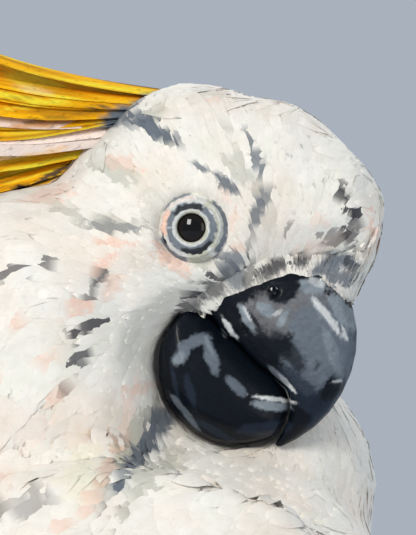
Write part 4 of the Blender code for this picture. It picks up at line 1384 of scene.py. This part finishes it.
# groups of plumes: how many; root x and z, length, heading in degrees up from straight back, and curl up,
# of the first and the last; lean to the side, width, tone
crestGroups = (
    (15, (-9, -24), (31.5, 20.5), (119, 80), (-34, -55), (60, 50), 6, 8.5, "golden"),
    (6, (-25, -28), (14, 6), (64, 54), (-43, -48), (22, 16), 13, 10, "blush"),
    (6, (-27, -31), (4, -6), (60, 46), (-52, -64), (22, 12), 9, 9, "golden"),
)
# marks on the crest: lemon strokes are painted highlights; orange, ochre, charcoal, coal and slate are
# painted shade between the plumes and at the crest's base; golden and cream are tints
crestTintsShadeAndHighlights = (
    ("lemon", (-55.8, -0.5, 7.7, 1.92, 26, 0.85)),
    ("cream", (-53, -1.2, 4.8, 0.96, 31, 0.35)),
    ("lemon", (-49.7, -3.2, 8.6, 0.58, 49, 1)),
    ("orange", (-46, 3.6, 9.6, 0.72, 29, 0.6)),
    ("golden", (-38.7, 8, 7.2, 1.44, 33, 0.5)),
    ("orange", (-44.2, -4.1, 11.5, 1.08, 49, 0.7)),
    ("ochre", (-47.2, -6.1, 5.8, 0.38, 51, 0.6), (-40, 2.1, 5.3, 0.34, 53, 0.6)),
    ("lemon", (-41.8, 9.7, 9.6, 0.48, 32, 0.6)),
    ("charcoal", (-38, 6.1, 3.1, 0.48, 49, 0.85)),
    ("ochre", (-34.4, 16.5, 7.2, 0.43, 33, 0.7), (-52.6, -3.5, 4.8, 0.29, 47, 0.5)),
    ("lemon", (-41.5, -16.3, 7.2, 0.62, 57, 1)),
    ("golden", (-41.4, -12.8, 7.2, 0.96, 57, 0.5)),
    ("orange", (-34.1, -10.2, 7.2, 1.2, 69, 0.6)),
    ("charcoal", (-36, -13.5, 8.2, 0.82, 70, 0.9)),
    ("ochre", (-32.5, -12.7, 6.2, 0.96, 71, 0.6)),
    ("coal", (-39.3, -22.1, 1.9, 1.68, 41, 1)),
    ("slate", (-32.7, 7.2, 4.6, 2.64, 69, 1), (-30.6, 14.4, 3.8, 1.44, 76, 1)),
)


def crestLines():
    stations = crestShape["stations"]
    lines, ways, widths, tint = [], [], [], []
    for plumes, *ends, mostLean, width, tone in crestGroups:
        for i in range(plumes):
            u = i / (plumes - 1)
            rootX, rootZ, length, heading, curl = (first + (last - first) * u for first, last in ends)
            side = 1 if i % 2 else -1
            lean = side * mostLean * (0.35 + 0.75 * (i * 0.618 % 1))
            heading += 1.5 * math.sin(2.4 * i)
            spot = np.array([rootX, 0.5 * side, rootZ])
            step = length / (stations - 1) * (0.98 + 0.04 * math.sin(3.7 * i))
            for k in range(stations):
                t = k / (stations - 1)
                turn = math.radians(heading + curl * t ** crestShape["late"])
                sideways = math.sin(math.radians(lean)) * (1 - 0.4 * t)
                tilt = math.sin(math.radians(9 * lean)) * 0.8
                facing = Vector((math.sin(turn), tilt, math.cos(turn)))
                lines.append(headFrame @ (Vector(spot) * mm))
                ways.append(headFrame.to_3x3() @ facing.normalized())
                spot = spot + np.array([-math.cos(turn), sideways, math.sin(turn)]) * step
            widths.append(width * (1 + 0.15 * math.sin(5.1 * i)))
            tint.append(np.array(tones[tone]) * (1 + 0.1 * math.sin(4.3 * i)))
    lines, ways = np.array((lines, ways)).reshape(2, len(widths), stations, 3)
    return lines, ways, np.array(widths), np.array(tint)


def makeCrest():
    centres, normals, widths, tint = crestLines()

    def colours(points, shape):
        # streaks that run along each plume, then the tints, painted highlights and painted shade
        plume, station, corner = (axis.ravel() for axis in np.indices(shape))
        shares, _ = sectionOffsets(crestShape["columns"])
        places = np.stack([plume * 5.3, shares[corner] * crestShape["streaks"], station * 0.06], axis=1)
        streak = 2 * np.array([noise.noise(Vector(place)) for place in places])
        base = tint[plume]
        yellow = (base[:, 2] < 0.1)[:, None]
        for tone, low, high, most in crestShape["streakTones"]:
            base = blend(base, tones[tone], most * smooth01(streak, low, high)[:, None] * yellow)
        return markedColour(points, base, crestTintsShadeAndHighlights, 0.8 * grainAt(points, 0.9))

    outline = np.interp(np.linspace(0, 1, crestShape["stations"]), *crestShape["outline"])
    widths = widths[:, None] * outline * mm
    places = skinPlaces(centres[:, 0])
    piece = featherMesh("crestPlumes", centres, normals, widths, crestShape, places, colours)
    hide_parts("crest")
    return piece


crest = makeCrest()
print("crest")


# materials
def vaneDetail():
    # barbs that run out from the shaft towards the tip, with the shaft's ridge and a few splits, and
    # painted shade along the vane's edges
    inputs = {"Barbs": 3.5, "Shaft": 0.2, "Contrast": 0.1, "Edge": 20.0}
    net, given, end = newGroup("vaneDetail", inputs, "Shade", "Height")
    parts = net.split(net.put("ShaderNodeUVMap", uv_map="vane").outputs[0])
    across = net.times(net.minus(parts[0], 0.5), 100)
    side = net.maths("ABSOLUTE", across)
    slant = net.minus(net.times(parts[1], 100), net.times(side, 1.3))
    along = net.times(slant, given["Barbs"])
    drift = net.times(net.split(net.place())[2], 90)
    barbs = net.grain(net.join(along, net.times(across, 0.4), drift), 1.0, 3.0, 0.6)
    broad = net.grain(net.join(net.times(along, 0.22), side, drift), 1.0, 1.0)
    splits = net.ramp(broad, 0.62, 0.72, 0, 1)
    ridge = net.ramp(side, 0, given["Shaft"], 1, 0)
    tone = net.times(net.minus(barbs, 0.5), given["Contrast"])
    tone = net.minus(tone, net.times(splits, net.times(given["Contrast"], 0.5)))
    # darker towards the vane's edges: painted shade where the vanes overlap
    tone = net.plus(tone, net.ramp(net.maths("DIVIDE", side, given["Edge"]), 0.7, 1.4, 1.0, 0.86))
    height = net.plus(net.minus(barbs, net.times(splits, 0.5)), net.times(ridge, 0.6))
    net.fill(end, {"Shade": tone, "Height": height})


def plumageTint():
    # soft warm and grey-green drifts over the coat, and how rough it looks
    inputs = {"Color": (1, 1, 1, 1), "Shade": 1.0, "Wash": 0.5}
    net, given, end = newGroup("plumageTint", inputs, "Color", "Roughness")
    place = net.place()
    warm = net.ramp(net.grain(place, 55, 3.0, 0.6), 0.42, 0.68, 0, 1)
    cool = net.ramp(net.grain(place, 80, 3.0, 0.65), 0.50, 0.75, 0, 1)
    fine = net.grain(place, 420)
    colour = net.mix(net.times(warm, given["Wash"]), given["Color"], (1.0, 0.86, 0.79, 1), "MULTIPLY")
    colour = net.mix(net.times(cool, given["Wash"]), colour, (0.86, 0.87, 0.78, 1), "MULTIPLY")
    colour = net.shaded(colour, net.times(given["Shade"], net.ramp(fine, 0.3, 0.7, 0.965, 1.02)))
    net.fill(end, {"Color": colour, "Roughness": net.ramp(fine, 0.3, 0.7, 0.7, 0.9)})


def hornDetail():
    # growth rings round the bill's base, flaking and fine scratches; darker horn shines more
    inputs = {"Color": (0.1, 0.1, 0.1, 1), "Rings": 1.0}
    net, given, end = newGroup("hornDetail", inputs, "Color", "Roughness", "Height")
    place = net.placeInHead()
    parts = net.split(place)
    away = net.measure("DISTANCE", net.join(parts[0], 0.0, parts[2]), (22.0, 0.0, 6.0))
    ringAt = net.plus(net.times(away, 0.9), net.times(net.grain(place, 0.16), 5))
    rings = net.grain(net.join(ringAt, parts[1]), 1.0, 3.0, 0.65)
    stretched = net.put("ShaderNodeMapping", {"Vector": place, "Scale": (0.5, 1.0, 2.4)}).outputs[0]
    flakes = net.grain(stretched, 0.9, 4.0, 0.7)
    pits = net.ramp(net.grain(place, 3.5), 0.6, 0.75, 0, 1)
    tone = net.ramp(net.plus(net.times(rings, 0.7), net.times(flakes, 0.7)), 0.4, 1.0, 0.72, 1.28)
    light = net.put("ShaderNodeRGBToBW", {0: given["Color"]}).outputs[0]
    rough = net.plus(net.ramp(light, 0.01, 0.2, 0.24, 0.5), net.times(flakes, 0.12))
    height = net.plus(net.times(rings, given["Rings"]), net.times(flakes, 0.4))
    height = net.minus(height, net.times(pits, 0.3))
    net.fill(end, {"Color": net.shaded(given["Color"], tone), "Roughness": rough, "Height": height})


def skinFolds():
    # small scales or folds with pale edges
    inputs = {"Color": (0.3, 0.3, 0.3, 1), "Scale": 700.0, "Edge": 0.5}
    net, given, end = newGroup("skinFolds", inputs, "Color", "Roughness", "Height")
    place = net.place()
    values = {"Vector": place, "Scale": given["Scale"]}
    cells = net.put("ShaderNodeTexVoronoi", values, feature="DISTANCE_TO_EDGE").outputs["Distance"]
    seams = net.ramp(cells, 0.02, 0.14, 1, 0)
    fine = net.grain(place, 1500, 3.0)
    shade = net.plus(net.ramp(fine, 0.3, 0.7, 0.86, 1.1), net.times(seams, given["Edge"]))
    net.fill(end, {
        "Color": net.shaded(given["Color"], shade),
        "Roughness": net.ramp(fine, 0.3, 0.7, 0.45, 0.65),
        "Height": net.minus(net.times(fine, 0.4), seams),
    })


vaneDetail()
plumageTint()
hornDetail()
skinFolds()


def dress(net, shader, colour, roughness, height, depth):
    # depth is the relief in millimetres
    values = {"Height": height, "Strength": 1.0, "Distance": depth * mm}
    relief = net.put("ShaderNodeBump", values).outputs[0]
    net.fill(shader, {"Base Color": colour, "Roughness": roughness, "Normal": relief})


# a vane's barbs, shaft, contrast and edge, where the painted edge shade starts; how strong the drifts of
# tint are; relief in millimetres
featherLook = {
    "plumage": ((3.2, 0.12, 0.14, 20), {"wash": 0.55, "relief": 0.035, "sheen": 0.15, "shine": 0.25}),
    "flight": ((1.6, 0.9, 0.2, 7.5), {"wash": 0.25, "relief": 0.08, "sheen": 0.1, "shine": 0.25}),
    "crest": ((2.6, 0.35, 0.6, 4.5), {"wash": 0.1, "relief": 0.12, "sheen": 0.0, "shine": 0.1}),
}


def featherMaterial(name):
    detail, look = featherLook[name]
    made, net, shader = newMaterial(name)
    vane = net.group("vaneDetail", dict(zip(("Barbs", "Shaft", "Contrast", "Edge"), detail)))
    values = {"Color": net.painted(), "Shade": vane["Shade"], "Wash": look["wash"]}
    tint = net.group("plumageTint", values)
    dress(net, shader, tint["Color"], tint["Roughness"], vane["Height"], look["relief"])
    net.fill(shader, {"Sheen Weight": look["sheen"], "Specular IOR Level": look["shine"]})
    return made


def skinMaterial():
    made, net, shader = newMaterial("skin")
    tint = net.group("plumageTint", {"Color": net.painted(), "Shade": 0.95, "Wash": 0.6})
    folds = net.group("skinFolds", {"Color": tint["Color"], "Scale": 900.0, "Edge": 0.05})
    dress(net, shader, folds["Color"], tint["Roughness"], folds["Height"], 0.06)
    net.fill(shader, {"Specular IOR Level": 0.25})
    return made


def hornMaterial(name, colour=None, rings=1.0, relief=0.12):
    # takes the piece's own painted colour, or one plain colour
    made, net, shader = newMaterial(name)
    horn = net.group("hornDetail", {"Color": colour or net.painted(), "Rings": rings})
    dress(net, shader, horn["Color"], horn["Roughness"], horn["Height"], relief)
    net.fill(shader, {"Coat Weight": 0.05, "Coat Roughness": 0.15, "Specular IOR Level": 0.12})
    return made


def foldMaterial(name, colour, scale, edge, relief):
    made, net, shader = newMaterial(name)
    folds = net.group("skinFolds", {"Color": colour or net.painted(), "Scale": scale, "Edge": edge})
    dress(net, shader, folds["Color"], folds["Roughness"], folds["Height"], relief)
    return made


def eyeMaterial():
    # a black pupil in an almost black iris under a wet, clear front
    made, net, shader = newMaterial("eyeDark")
    parts = net.split(net.placeInHead())
    flat = net.join(parts[0], parts[2])
    away = net.measure("LENGTH", flat)
    rays = net.grain(flat, 2.2, 3.0)
    iris = net.mix(rays, (0.002, 0.001, 0.001, 1), (0.010, 0.005, 0.003, 1))
    colour = net.mix(net.ramp(away, 1.9, 2.3, 1, 0), iris, (0.001, 0.001, 0.001, 1))
    colour = net.mix(net.ramp(away, 3.2, 3.6, 0, 1), colour, (0.001, 0.001, 0.002, 1))
    net.fill(shader, {"Base Color": colour, "Roughness": net.ramp(rays, 0.3, 0.7, 0.04, 0.09)})
    net.fill(shader, {"Coat Weight": 0.3, "Coat Roughness": 0.02, "Specular IOR Level": 0.15})
    return made


def paintWith(material, *pieces):
    for piece in pieces:
        piece.data.materials.clear()
        piece.data.materials.append(material)


paintWith(featherMaterial("plumage"), *coat)
paintWith(featherMaterial("flight"), *flight)
paintWith(featherMaterial("crest"), crest)
paintWith(skinMaterial(), skin)
paintWith(hornMaterial("billHorn"), billUpper, billLower)
paintWith(eyeMaterial(), *eyes)
paintWith(foldMaterial("lidSkin", None, 1500.0, 0.12, 0.06), *lids)
paintWith(foldMaterial("legSkin", (0.085, 0.085, 0.09, 1), 620.0, 0.9, 0.25), *feet)
paintWith(hornMaterial("clawHorn", (0.02, 0.02, 0.024, 1), 0.4, 0.06), *claws)
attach(skin, "root")
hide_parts(*fleshNodes)
print("materials")
